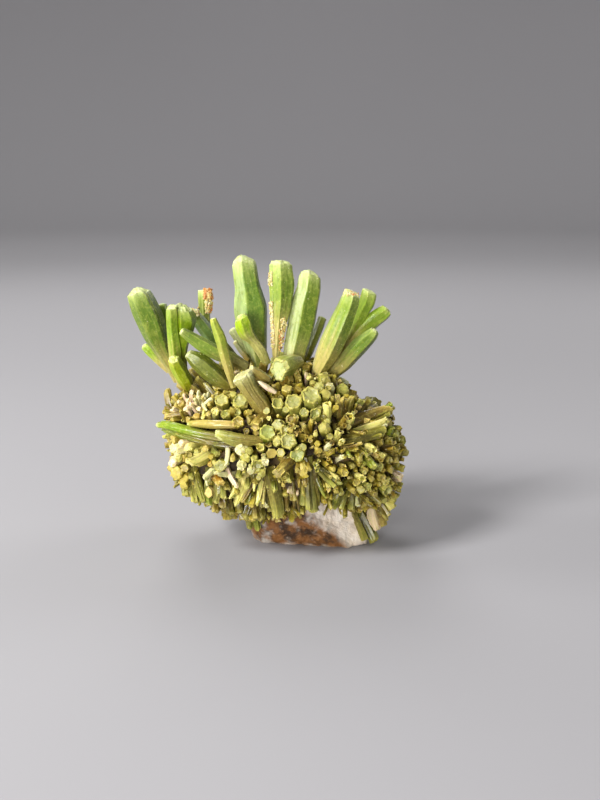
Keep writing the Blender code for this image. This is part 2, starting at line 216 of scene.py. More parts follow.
world = bpy.data.worlds.new("sky")
world.use_nodes = True
world.node_tree.nodes["Background"].inputs["Color"].default_value = (0.94, 0.96, 1.0, 1.0)
world.node_tree.nodes["Background"].inputs["Strength"].default_value = 0.09
bpy.context.scene.world = world
bpy.context.scene.view_settings.view_transform = "Standard"

# %% [markdown]
# Materials are built from nodes in code, so a few short helpers keep them readable: one
# adds a node and joins what it is given to its sockets, one mixes two colours, and one
# stretches a value from one range to another.

# %% Node helpers
def join(tree, value, socket):
    """Links a socket of another node to this one, or sets a plain value."""
    if isinstance(value, bpy.types.NodeSocket):
        tree.links.new(value, socket)
    elif isinstance(value, tuple) and socket.type == "RGBA" and len(value) == 3:
        socket.default_value = (*value, 1.0)
    else:
        socket.default_value = value


def add(tree, kind, inputs=None, **settings):
    """Adds a node with its settings, and joins its inputs."""
    node = tree.nodes.new(kind)
    for name, value in settings.items():
        setattr(node, name, value)
    for key, value in (inputs or {}).items():
        join(tree, value, node.inputs[key])
    return node


def mix(tree, factor, first, second, how="MIX"):
    """Mixes two colours."""
    node = add(tree, "ShaderNodeMix", {0: factor, 6: first, 7: second}, data_type="RGBA", blend_type=how)
    return node.outputs[2]


def stretch(tree, value, low, high, to_low=0.0, to_high=1.0):
    """Maps a range of values to another, and holds it at its ends."""
    inputs = {"Value": value, "From Min": low, "From Max": high, "To Min": to_low, "To Max": to_high}
    return add(tree, "ShaderNodeMapRange", inputs, interpolation_type="SMOOTHSTEP").outputs["Result"]


def maths(tree, how, first, second):
    """Joins two values by a sum."""
    return add(tree, "ShaderNodeMath", {0: first, 1: second}, operation=how).outputs[0]


def attribute(tree, name, output="Fac"):
    """Reads a value that the mesh carries at its points."""
    return add(tree, "ShaderNodeAttribute", attribute_name=name).outputs[output]


def noise_at(tree, vector, scale, detail=3.0, squeeze=None):
    """Soft noise from 0 to 1. Squeeze scales the pattern along each axis first."""
    if squeeze:
        vector = add(tree, "ShaderNodeMapping", {"Vector": vector, "Scale": squeeze}).outputs[0]
    return add(tree, "ShaderNodeTexNoise", {"Vector": vector, "Scale": scale, "Detail": detail}).outputs["Fac"]


def new_finish(name):
    """A new material, its node tree, its shader and the place on the object."""
    made = bpy.data.materials.new(name)
    made.use_nodes = True
    tree = made.node_tree
    return made, tree, tree.nodes["Principled BSDF"], add(tree, "ShaderNodeTexCoord").outputs["Object"]


def dress(made, shader, colour, roughness, bump, depth):
    """Joins colour, roughness and relief to the shader."""
    tree = made.node_tree
    tree.links.new(colour, shader.inputs["Base Color"])
    tree.links.new(roughness, shader.inputs["Roughness"])
    relief = add(tree, "ShaderNodeBump", {"Height": bump, "Strength": 0.7, "Distance": depth * MM})
    tree.links.new(relief.outputs["Normal"], shader.inputs["Normal"])
    return made


print("node helpers are ready")

# %% [markdown]
# The finish of a prism. Each crystal carries its own values at its points: its colour from
# root to tip, how near a worn rim or an edge between two sides the point is, whether it is
# on the end face, its place in the crystal's own millimetres, and which way its side
# looks. Sides that look to the left get a painted pale sheen, the others a painted shade,
# and the edges between sides a painted pale highlight. The streaks are noise that is
# squeezed across the crystal and drawn out along it, so they follow every prism whichever
# way it leans. A little light passes under the waxy surface.

# %% Finish of the prisms
STREAK_SQUEEZE = (1.0, 1.0, 0.07)
GLOW_RADIUS = (0.55, 1.0, 0.25)
# A painted pale sheen for sides that look towards the light, and a dark multiplier that paints shade on sides that look
# away and also darkens the pits.
PAINTED_SHEEN = paint(212, 218, 166)
SHADE_AND_PIT_DARKENING = (0.34, 0.4, 0.1)
TONES = [
    (0.0, paint(112, 104, 18)), (0.16, paint(140, 104, 18)), (0.3, paint(152, 134, 26)), (0.44, paint(164, 132, 66)),
    (0.56, paint(124, 118, 20)), (0.68, paint(178, 148, 24)), (0.8, paint(100, 76, 10)), (0.9, paint(204, 174, 110)),
    (1.0, paint(180, 184, 112)),
]


def tint_by_tone(tree):
    """The colour of a small crystal, picked from a row of colours by its own tone, and turning brown towards its root,
    partly as painted shade of the gaps.
    """
    ramp = add(tree, "ShaderNodeValToRGB", {"Fac": attribute(tree, "tone")})
    stops = ramp.color_ramp.elements
    while len(stops) < len(TONES):
        stops.new(1.0)
    for stop, (place, colour) in zip(stops, TONES):
        stop.position = place
        stop.color = (*colour, 1.0)
    along = attribute(tree, "along")
    # Brown towards the root, partly painted shade of the gaps between crystals.
    return mix(tree, stretch(tree, along, 0.4, 1.0), BROWN, ramp.outputs["Color"])


def prism_finish(name, own_tint=True, frost=0.5, glow=0.12, bloom=0.9, deep=0.9, worn_rim=RIM):
    """A waxy green crystal. Frost is how pale its end face is; the next two amounts set the painted pale sheen on sides
    that look towards the light and the painted shade on sides that look away.
    """
    made, tree, shader, place = new_finish(name)
    rim, face, edge, side = (attribute(tree, key) for key in ("rim", "face", "edge", "side"))
    inside = attribute(tree, "own", "Vector")
    tint = attribute(tree, "tint", "Color") if own_tint else tint_by_tone(tree)
    streaks = noise_at(tree, inside, 3.4, 4.0, STREAK_SQUEEZE)
    fine_streaks = noise_at(tree, inside, 9.0, 2.0, STREAK_SQUEEZE)
    mottle = noise_at(tree, place, 900.0, 4.0)
    grain = noise_at(tree, place, 3200.0, 3.0)
    dark = mix(tree, 1.0, tint, (0.72, 0.77, 0.5), "MULTIPLY")
    light = mix(tree, 0.3, tint, paint(226, 218, 110))
    body = mix(tree, stretch(tree, streaks, 0.3, 0.62), dark, tint)
    # Painted shade on the sides that look away from the light, then a painted pale sheen on the sides that look towards
    # it.
    body = mix(tree, stretch(tree, maths(tree, "MULTIPLY", side, -1.0), -0.1, 0.7, 0.0, deep), body, mix(tree, 1.0, body, SHADE_AND_PIT_DARKENING, "MULTIPLY"))
    body = mix(tree, maths(tree, "MULTIPLY", stretch(tree, side, 0.2, 1.0, 0.0, bloom), stretch(tree, streaks, 0.25, 0.6, 0.4, 1.0)), body, mix(tree, 0.3, PAINTED_SHEEN, tint))
    body = mix(tree, stretch(tree, fine_streaks, 0.52, 0.75, 0.0, 0.35), body, light)
    body = mix(tree, stretch(tree, mottle, 0.55, 0.75, 0.0, 0.4), body, light)
    body = mix(tree, stretch(tree, grain, 0.48, 0.66, 0.0, 0.4), body, light)
    # Painted pale highlight along the edges between two sides.
    body = mix(tree, maths(tree, "MULTIPLY", edge, stretch(tree, mottle, 0.4, 0.65, 0.0, 0.55)), body, light)
    body = mix(tree, maths(tree, "MULTIPLY", face, frost), body, mix(tree, grain, FROST, tint))
    worn = maths(tree, "MULTIPLY", rim, stretch(tree, grain, 0.3, 0.62, 0.3, 0.95))
    body = mix(tree, worn, body, mix(tree, 0.3, worn_rim, tint))
    smudges = stretch(tree, noise_at(tree, place, 700.0, 5.0, (1.0, 1.0, 0.45)), 0.6, 0.7, 0.0, 0.35)
    body = mix(tree, smudges, body, mix(tree, 0.6, tint, BROWN))
    specks = stretch(tree, noise_at(tree, place, 5200.0, 1.0), 0.72, 0.77, 0.0, 0.7)
    body = mix(tree, specks, body, FROST)
    pits = stretch(tree, noise_at(tree, place, 2600.0, 3.0, (1.0, 1.0, 0.6)), 0.56, 0.72, 0.0, 0.4)
    body = mix(tree, pits, body, mix(tree, 1.0, body, SHADE_AND_PIT_DARKENING, "MULTIPLY"))
    rough = stretch(tree, maths(tree, "ADD", mottle, worn), 0.25, 1.3, 0.3, 0.55)
    relief = maths(tree, "ADD", maths(tree, "MULTIPLY", maths(tree, "ADD", streaks, fine_streaks), 0.5), maths(tree, "MULTIPLY", grain, 0.4))
    shader.inputs["IOR"].default_value = 1.6
    shader.inputs["Specular IOR Level"].default_value = 0.35
    shader.inputs["Subsurface Weight"].default_value = glow
    shader.inputs["Subsurface Radius"].default_value = GLOW_RADIUS
    shader.inputs["Subsurface Scale"].default_value = 0.6 * MM
    return dress(made, shader, body, rough, relief, 0.05)


PRISM = prism_finish("green_prism")
SMALL_PRISM = prism_finish("crust_prism", frost=0.3, glow=0.12, bloom=0.2, deep=0.7, worn_rim=OCHRE_RIM)
SCATTERED = prism_finish("scattered_prism", own_tint=False, frost=0.1, glow=0.1, bloom=0.1, deep=0.7, worn_rim=OCHRE_RIM)
print("prism finishes:", [PRISM.name, SMALL_PRISM.name, SCATTERED.name])

# %% [markdown]
# The ground under the crystals is an ochre skin, painted dark brown as the shade in the gaps.
# The rock is a pale, sugary stone with rusty stains on its lower left side, their darkest
# browns painted as shade, and the crumbs that cling to some prisms are grains of the same
# rusty and cream stuff.

# %% Finish of the ground, the rock and the crumbs
def ground_finish():
    """An ochre and brown skin with a rough grain, kept dark as painted shade in the gaps between crystals."""
    made, tree, shader, place = new_finish("crust_ground")
    patches = noise_at(tree, place, 260.0, 4.0)
    grain = noise_at(tree, place, 2400.0, 4.0)
    # The dark browns are painted shade in the gaps between the crystals.
    body = mix(tree, stretch(tree, patches, 0.4, 0.65), paint(40, 28, 10), paint(84, 64, 26))
    body = mix(tree, stretch(tree, grain, 0.55, 0.8, 0.0, 0.5), body, TAN)
    return dress(made, shader, body, stretch(tree, grain, 0.2, 0.8, 0.6, 0.9), grain, 0.2)


def rock_finish():
    """A pale sugary rock. Its stain value says where it is rusty, and the rust is painted darker, partly as the shade
    it lies in.
    """
    made, tree, shader, place = new_finish("sugary_rock")
    patches = noise_at(tree, place, 420.0, 5.0)
    grain = noise_at(tree, place, 2600.0, 4.0)
    body = mix(tree, stretch(tree, patches, 0.35, 0.7), paint(252, 240, 224), paint(230, 210, 182))
    body = mix(tree, stretch(tree, grain, 0.55, 0.75, 0.0, 0.8), body, paint(250, 244, 236))
    clouds = noise_at(tree, place, 800.0, 3.0)
    # Real rusty stain, with its darkest browns painted as the shade of the undercut lower side.
    rust_and_shade = mix(tree, stretch(tree, clouds, 0.38, 0.62), paint(58, 36, 14), paint(128, 82, 36))
    rust_and_shade = mix(tree, stretch(tree, grain, 0.5, 0.75, 0.0, 0.5), rust_and_shade, paint(168, 122, 78))
    rusty = maths(tree, "MULTIPLY", attribute(tree, "stain"), stretch(tree, patches, 0.34, 0.5, 0.55, 1.0))
    body = mix(tree, rusty, body, rust_and_shade)
    return dress(made, shader, body, stretch(tree, grain, 0.3, 0.7, 0.55, 0.85), grain, 0.25)


def crumb_finish(name, first, second):
    """Grains between two colours."""
    made, tree, shader, place = new_finish(name)
    grain = noise_at(tree, place, 1800.0, 3.0)
    body = mix(tree, stretch(tree, attribute(tree, "tone"), 0.2, 0.8), first, second)
    body = mix(tree, stretch(tree, grain, 0.45, 0.7, 0.0, 0.5), body, CREAM)
    shader.inputs["Subsurface Weight"].default_value = 0.15
    shader.inputs["Subsurface Scale"].default_value = 0.3 * MM
    return dress(made, shader, body, stretch(tree, grain, 0.3, 0.7, 0.45, 0.8), grain, 0.1)


GROUND = ground_finish()
ROCK = rock_finish()
RUSTY = crumb_finish("rusty_crumbs", paint(198, 122, 52), paint(220, 178, 122))
CREAMY = crumb_finish("creamy_crumbs", paint(204, 178, 104), paint(228, 212, 164))
print("finishes:", len(bpy.data.materials))

# %% [markdown]
# A prism is a hexagon swept along a nearly straight line. The real ones are seldom that
# clean: two or three grow side by side and share one body, their sides carry lengthwise
# ribs, and their ends are worn, sunken or hollow. So the outline of a cross section is
# worked out in every direction as the furthest of several hexagons. It is then scaled to
# reach from -1 to 1 across, so that a width measured in the picture is the width it gets.

# %% Cross section of a prism
Hexagon = namedtuple("Hexagon", "x y size drop turn", defaults=(0.0, 0.0, 0.0))
Outline = namedtuple("Outline", "x y middle scale lead edge")
CORNER_SHARPNESS = 90
FLAT_SIDE = math.cos(math.pi / 6)


def side_ways(hexagon):
    """The directions of the six sides."""
    return math.radians(hexagon.turn) + math.pi / 6 + np.arange(6) * math.pi / 3


def hexagon_reach(angles, hexagon):
    """How far a hexagon that is a little aside reaches from the axis in each direction."""
    sides = side_ways(hexagon)
    room = hexagon.size * FLAT_SIDE + hexagon.x * np.cos(sides) + hexagon.y * np.sin(sides)
    toward = np.clip(np.cos(angles[:, None] - sides[None, :]) / room[None, :], 1e-6, None)
    return (toward**CORNER_SHARPNESS).sum(axis=1) ** (-1 / CORNER_SHARPNESS)


def in_hexagon(x, y, hexagon):
    """Whether points of a cross section lie in a hexagon."""
    out = (x - hexagon.x)[:, None] * np.cos(side_ways(hexagon)) + (y - hexagon.y)[:, None] * np.sin(side_ways(hexagon))
    return (out < hexagon.size * FLAT_SIDE).all(axis=1)


def trace_outline(hexagons, columns):
    """The joint outline of hexagons, with columns of points along each side of the first one."""
    corners = math.radians(hexagons[0].turn) + np.arange(7) * math.pi / 3
    part = np.tile(np.arange(columns) / columns, 6)
    first, second = np.repeat(corners[:6], columns), np.repeat(corners[1:], columns)
    across = np.cos(first) * (1 - part) + np.cos(second) * part
    deep = np.sin(first) * (1 - part) + np.sin(second) * part
    angles = np.arctan2(deep, across)
    reaches = np.array([hexagon_reach(angles, hexagon) for hexagon in hexagons])
    lead, reach = reaches.argmax(axis=0), reaches.max(axis=0)
    x, y = reach * np.cos(angles), reach * np.sin(angles)
    own_x, own_y, own_size = (np.array([h[i] for h in hexagons])[lead] for i in range(3))
    corner = np.hypot(x - own_x, y - own_y) / own_size
    edge = np.clip((corner - 0.94) / 0.04, 0, 1)
    middle = np.array(((x.max() + x.min()) / 2, (y.max() + y.min()) / 2))
    scale = 2 / (x.max() - x.min())
    return Outline((x - middle[0]) * scale, (y - middle[1]) * scale, middle, scale, lead, edge)


print("a hexagon reaches", hexagon_reach(np.array([0.0, math.pi / 6]), Hexagon(0, 0, 1)).round(3))

# %% [markdown]
# Each kind of end is a list of places from the rim to the middle. A place has its
# distance out as a part of the half width, its height in half widths, how much it is worn
# pale like a rim, and how much it belongs to the frosted end face.

# %% Kinds of end
End = namedtuple("End", "out high rim face")
ENDS = {
    "flat": [End(1, -0.14, 0.9, 0), End(0.95, -0.03, 1, 0.2), End(0.84, 0, 0.5, 0.9), End(0.45, 0, 0.1, 1), End(0.15, 0, 0, 1)],
    "worn": [End(1, -0.34, 0.5, 0), End(0.96, -0.2, 0.7, 0.1), End(0.87, -0.06, 0.8, 0.3), End(0.6, 0.03, 0.7, 0.4), End(0.25, 0.06, 0.6, 0.4)],
    "peaked": [End(1, -0.66, 0.5, 0), End(0.9, -0.4, 0.7, 0.1), End(0.68, -0.14, 0.8, 0.2), End(0.38, 0.02, 0.5, 0.3), End(0.12, 0.08, 0.4, 0.3)],
    "round": [End(1, -0.8, 0.2, 0), End(0.93, -0.5, 0.4, 0.1), End(0.78, -0.22, 0.7, 0.2), End(0.5, -0.04, 0.8, 0.3), End(0.2, 0.02, 0.8, 0.3)],
    "sunken": [End(1, -0.16, 0.6, 0), End(0.95, -0.02, 1, 0.1), End(0.82, 0.02, 0.8, 0.4), End(0.68, -0.13, 0.1, 1), End(0.25, -0.18, 0, 1)],
    "hollow": [End(1, -0.14, 0.7, 0), End(0.94, 0, 1, 0), End(0.8, 0, 0.8, 0.2), End(0.68, -0.35, 0.1, 0.6), End(0.3, -0.55, 0, 0.5)],
    "deep": [End(1, -0.06, 0.9, 0), End(0.92, 0, 1, 0), End(0.74, 0, 1, 0.1), End(0.64, -0.9, 0.0, 0.1), End(0.4, -1.5, 0, 0)],
    "pointed": [End(1, -1.7, 0.1, 0), End(0.8, -0.9, 0.2, 0), End(0.55, -0.35, 0.5, 0), End(0.3, -0.08, 0.8, 0), End(0.1, 0, 1, 0)],
    "plain": [End(1, -0.1, 0.5, 0), End(0.84, 0, 0.5, 0.8)],
    "cup": [End(1, -0.05, 0.7, 0), End(0.78, 0, 1, 0.1), End(0.55, -0.7, 0, 0)],
    "tip": [End(1, -1.3, 0.1, 0), End(0.5, -0.3, 0.5, 0)],
}
print("kinds of end:", ", ".join(ENDS))

# %% [markdown]
# The crystal itself. Rings of points run from its foot to its rim and then in over its
# end. The ribs and bumps are noise read on the crystal, so they are real relief that
# shows on its outline, and not only paint. The points also carry the values that the
# finish reads. The line through its middle and its half width are read along a smooth
# curve, so a crystal may bend or swell. Its end may be cut by slanting planes, each with
# its rise to the right, its rise to the back and its height.

# %% Growing one crystal
# The last value of a skin scales the painted pale sheen on its sides that look to the left.
Skin = namedtuple("Skin", "root body tip fade bloom", defaults=(0.35, 0.5))
Crystal = namedtuple(
    "Crystal",
    "middles halves turn skin end partners slant ribs crumble columns rings seed",
    defaults=("worn", (), (0.0, 0.0, 0.0), 0.028, 0.0, 11, 44, 0),
)
RIM_FALL = (0.08, 0.3)
# The way towards the lights on the left: sides that look this way get the painted pale sheen, the others the painted
# shade.
PAINTED_LIGHT_WAY = np.array((-0.97, -0.16, 0.18))
CRUMBLE_LENGTH = 1.1
VALUES = {"along": 1, "rim": 1, "face": 1, "edge": 1, "side": 1, "tone": 1, "own": 3, "tint": 4}


def read_smoothly(values, places):
    """Reads evenly spaced values along a smooth curve, at places from 0 to 1."""
    values = np.array(values, float)
    last = len(values) - 1
    spot = np.clip(places, 0, 1) * last
    low = np.minimum(spot.astype(int), last - 1)
    part = (spot - low).reshape(spot.shape + (1,) * (values.ndim - 1))
    a, b = values[np.maximum(low - 1, 0)], values[low]
    c, d = values[low + 1], values[np.minimum(low + 2, last)]
    bend = (2 * a - 5 * b + 4 * c - d) * part**2 + (3 * b - a - 3 * c + d) * part**3
    return b + 0.5 * ((c - a) * part + bend)


def crystal_axes(foot, tip):
    """Across to the picture's right, away from the viewer, and along the crystal."""
    along = Vector(tip - foot).normalized()
    back = Vector((0, 1, 0))
    if abs(along.y) < 0.8:
        right = back.cross(along).normalized()
    else:
        right = (Vector((1, 0, 0)) - along * along.x).normalized()
    return np.array(right), np.array(along.cross(right)), np.array(along)


def ring_places(count):
    """Places of the rings from foot to rim: closer together near the rim."""
    if count < 6:
        return np.array([0.0, 0.5, 0.9, 1.0])[-count:] * (np.arange(count) > 0)
    return 1 - (1 - np.linspace(0, 1, count)) ** 1.2


def smooth_step(values, low, high):
    """Rises from 0 at low to 1 at high."""
    part = np.clip((values - low) / (high - low), 0, 1)
    return part * part * (3 - 2 * part)


def new_pool():
    """Lists that collect the points, faces and values of many crystals."""
    return {name: [] for name in ("points", "faces", *VALUES)} | {"count": 0}


def grow(pool, crystal):
    """Adds one crystal to the pool."""
    middles = np.array([tuple(m) for m in crystal.middles])
    right, away, up = crystal_axes(middles[0], middles[-1])
    length = np.linalg.norm(middles[-1] - middles[0])
    hexagons = [Hexagon(0.0, 0.0, 1.0, 0.0, crystal.turn)]
    hexagons += [p._replace(turn=p.turn + crystal.turn) for p in crystal.partners]
    outline = trace_outline(hexagons, crystal.columns)
    profile = ENDS[crystal.end]
    tip_half = crystal.halves[-1]
    planes = np.array(crystal.slant).reshape(-1, 3)
    drops = np.array([h.drop for h in hexagons])
    shift = (crystal.seed * 7.31) % 40

    def slope(out):
        across, back, high = (planes[:, None, i] for i in range(3))
        return (outline.x * out * across + outline.y * out * back + high).min(axis=0) * tip_half

    rim_place = 1 + (profile[0].high * tip_half - drops[outline.lead] + slope(1)) / length
    rings = ring_places(crystal.rings)
    places = rings[:, None] * rim_place[None, :]
    halves = read_smoothly(crystal.halves, places)
    centres = read_smoothly(middles, places) + up * np.clip(places - 1, 0, None)[:, :, None] * length
    x, y = halves * outline.x, halves * outline.y
    fall = RIM_FALL[0] + RIM_FALL[1] * tip_half
    rim = np.exp(-(1 - rings) * length / fall)[:, None] * np.full(places.shape, profile[0].rim)
    face = np.zeros(places.shape)
    z = places * length
    for step in profile[1:]:
        flat_x, flat_y = (step.out * value / outline.scale for value in (outline.x, outline.y))
        low = np.full(len(flat_x), np.inf)
        for hexagon in hexagons:
            inside = in_hexagon(flat_x + outline.middle[0], flat_y + outline.middle[1], hexagon)
            low = np.where(inside, np.minimum(low, hexagon.drop), low)
        low = np.where(np.isinf(low), drops[outline.lead], low)
        high = step.high * tip_half - low + slope(step.out)
        centres = np.vstack([centres, (middles[-1] + up * high[:, None])[None]])
        x = np.vstack([x, outline.x * step.out * tip_half])
        y = np.vstack([y, outline.y * step.out * tip_half])
        z = np.vstack([z, length + high])
        rim = np.vstack([rim, np.full(len(high), step.rim)])
        face = np.vstack([face, np.full(len(high), step.face)])
    rows, total = x.shape
    along = np.vstack([places, np.ones((rows - len(rings), total))])

    around = np.arctan2(outline.y, outline.x)
    ribs = np.zeros(x.shape)
    for i in range(rows):
        step = noise.noise(Vector((shift, 0.0, z[i, 0] * 1.6))) * 0.35
        for k in range(total):
            spot = Vector((math.cos(around[k]) * 3.4 + shift, math.sin(around[k]) * 3.4, z[i, k] * 0.16))
            ribs[i, k] = noise.noise(spot) + 0.5 * noise.noise(spot * 2.3) + step
    calm = np.where(face > 0, 0.3, 1.0)
    swell = 1 + crystal.ribs * ribs * calm / np.maximum(np.hypot(x, y), 0.2)
    x, y = x * swell, y * swell
    if crystal.crumble:
        near = np.clip(1 - (length - z) / CRUMBLE_LENGTH, 0, 1) * crystal.crumble
        for i, k in zip(*np.nonzero(near)):
            spot = Vector((x[i, k] * 2.4 + shift, y[i, k] * 2.4, z[i, k] * 2.4))
            rough = noise.noise_vector(spot) + 0.6 * noise.noise_vector(spot * 2.3)
            x[i, k] += rough.x * near[i, k]
            y[i, k] += rough.y * near[i, k]
            centres[i, k] += up * rough.z * near[i, k]
    points = centres + right * x[..., None] + away * y[..., None]

    skin = crystal.skin
    body_part = smooth_step(along + 0.12 * ribs, skin.fade - 0.22, skin.fade + 0.22)[..., None]
    tip_part = smooth_step(along + 0.06 * ribs, 0.72, 1.02)[..., None] * 0.75
    colour = np.array(skin.root) * (1 - body_part) + np.array(skin.body) * body_part
    colour = colour * (1 - tip_part) + np.array(skin.tip) * tip_part

    first = pool["count"]
    made = rows * total
    pool["points"].append(points.reshape(made, 3))
    pool["along"].append(along.ravel())
    pool["rim"].append(rim.ravel())
    pool["face"].append(face.ravel())
    # Edge: nearness to a corner between two sides, where the finish paints a pale highlight.
    pool["edge"].append((outline.edge[None, :] * (face == 0)).ravel())
    # How far each side looks towards the lights on the left, which the finish turns into painted sheen and painted
    # shade.
    middle_ways = side_ways(hexagons[0])[np.arange(total) // crystal.columns]
    looks = (np.cos(middle_ways)[:, None] * right + np.sin(middle_ways)[:, None] * away) @ PAINTED_LIGHT_WAY
    looks = np.where(looks > 0, looks * skin.bloom, looks)
    pool["side"].append((looks[None, :] * (face == 0)).ravel())
    pool["tone"].append(np.full(made, (crystal.seed * 0.377) % 1))
    pool["own"].append(np.stack([x + shift, y, z], axis=2).reshape(made, 3))
    pool["tint"].append(np.concatenate([colour, np.ones((rows, total, 1))], axis=2).reshape(made, 4))
    for row in range(rows - 1):
        low = first + row * total
        for k in range(total):
            after = (k + 1) % total
            pool["faces"].append((low + k, low + after, low + total + after, low + total + k))
    pool["faces"].append(tuple(first + k for k in reversed(range(total))))
    pool["faces"].append(tuple(first + (rows - 1) * total + k for k in range(total)))
    pool["count"] = first + made


def finish_pool(name, pool, finish, sharp=32.0):
    """Turns a pool into an object in metres, with its values and its finish."""
    mesh = bpy.data.meshes.new(name)
    mesh.from_pydata((np.vstack(pool["points"]) * MM).tolist(), [], pool["faces"])
    kinds = {1: ("FLOAT", "value"), 3: ("FLOAT_VECTOR", "vector"), 4: ("FLOAT_COLOR", "color")}
    for key, size in VALUES.items():
        kind, field = kinds[size]
        data = np.concatenate(pool[key]).astype(np.float32).ravel()
        mesh.attributes.new(key, kind, "POINT").data.foreach_set(field, data)
    mesh.materials.append(finish)
    mesh.shade_smooth()
    mesh.set_sharp_from_angle(angle=math.radians(sharp))
    made = bpy.data.objects.new(name, mesh)
    bpy.context.scene.collection.objects.link(made)
    return made


def show(piece, slot, *nodes):
    """Puts a finished piece on the frame in place of its solids."""
    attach(piece, "root")
    if nodes:
        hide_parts(*nodes)
    print(piece.name, "has", sum(len(p.vertices) - 2 for p in piece.data.polygons), "triangles")
    return piece


# %% [markdown]
# The standing prisms come first, because they give the specimen its outline. A prism is
# measured in the picture: each of its stations is a pair of pixels, one on its left edge
# and one on its right edge, from the root to the tip. The depths say how far back its root
# and its tip are, which the solids of the frame fix.

# %% Measuring a prism in the picture
def seen(stations, depths, turn, skin, end="worn", partners=(), slant=(0.0, 0.0, 0.0), bow=0.0, **more):
    """A crystal from pairs of edge pixels. Depths are the y of its root and tip, and bow that of its middle."""
    middles, halves = [], []
    for i, (left_u, left_v, right_u, right_v) in enumerate(stations):
        part = i / (len(stations) - 1)
        y = depths[0] + (depths[1] - depths[0]) * part + bow * 4 * part * (1 - part) + SHIFT.y
        middle = at_depth((left_u + right_u) / 2, (left_v + right_v) / 2, y)
        middles.append(middle)
        halves.append(math.hypot(right_u - left_u, right_v - left_v) / 2 * pixel_size(middle))
    return Crystal(middles, halves, turn, skin, end, partners, slant, **more)


ROOT_SAND = paint(178, 160, 96)
TIP = paint(182, 198, 96)
MAIN = Skin(ROOT_SAND, paint(114, 146, 40), TIP, 0.3)
FRESH = Skin(ROOT_SAND, paint(134, 162, 30), TIP, 0.35)
LIMY = Skin(paint(150, 138, 20), paint(166, 184, 0), paint(204, 206, 20), 0.25, 0.1)
DULL = Skin(paint(126, 108, 44), paint(112, 120, 40), paint(140, 150, 70), 0.25)
STALK = Skin(paint(166, 148, 78), paint(150, 162, 50), paint(196, 200, 84), 0.4)
BARK = Skin(paint(128, 106, 50), paint(144, 128, 64), paint(172, 166, 80), 0.4, 0.3)

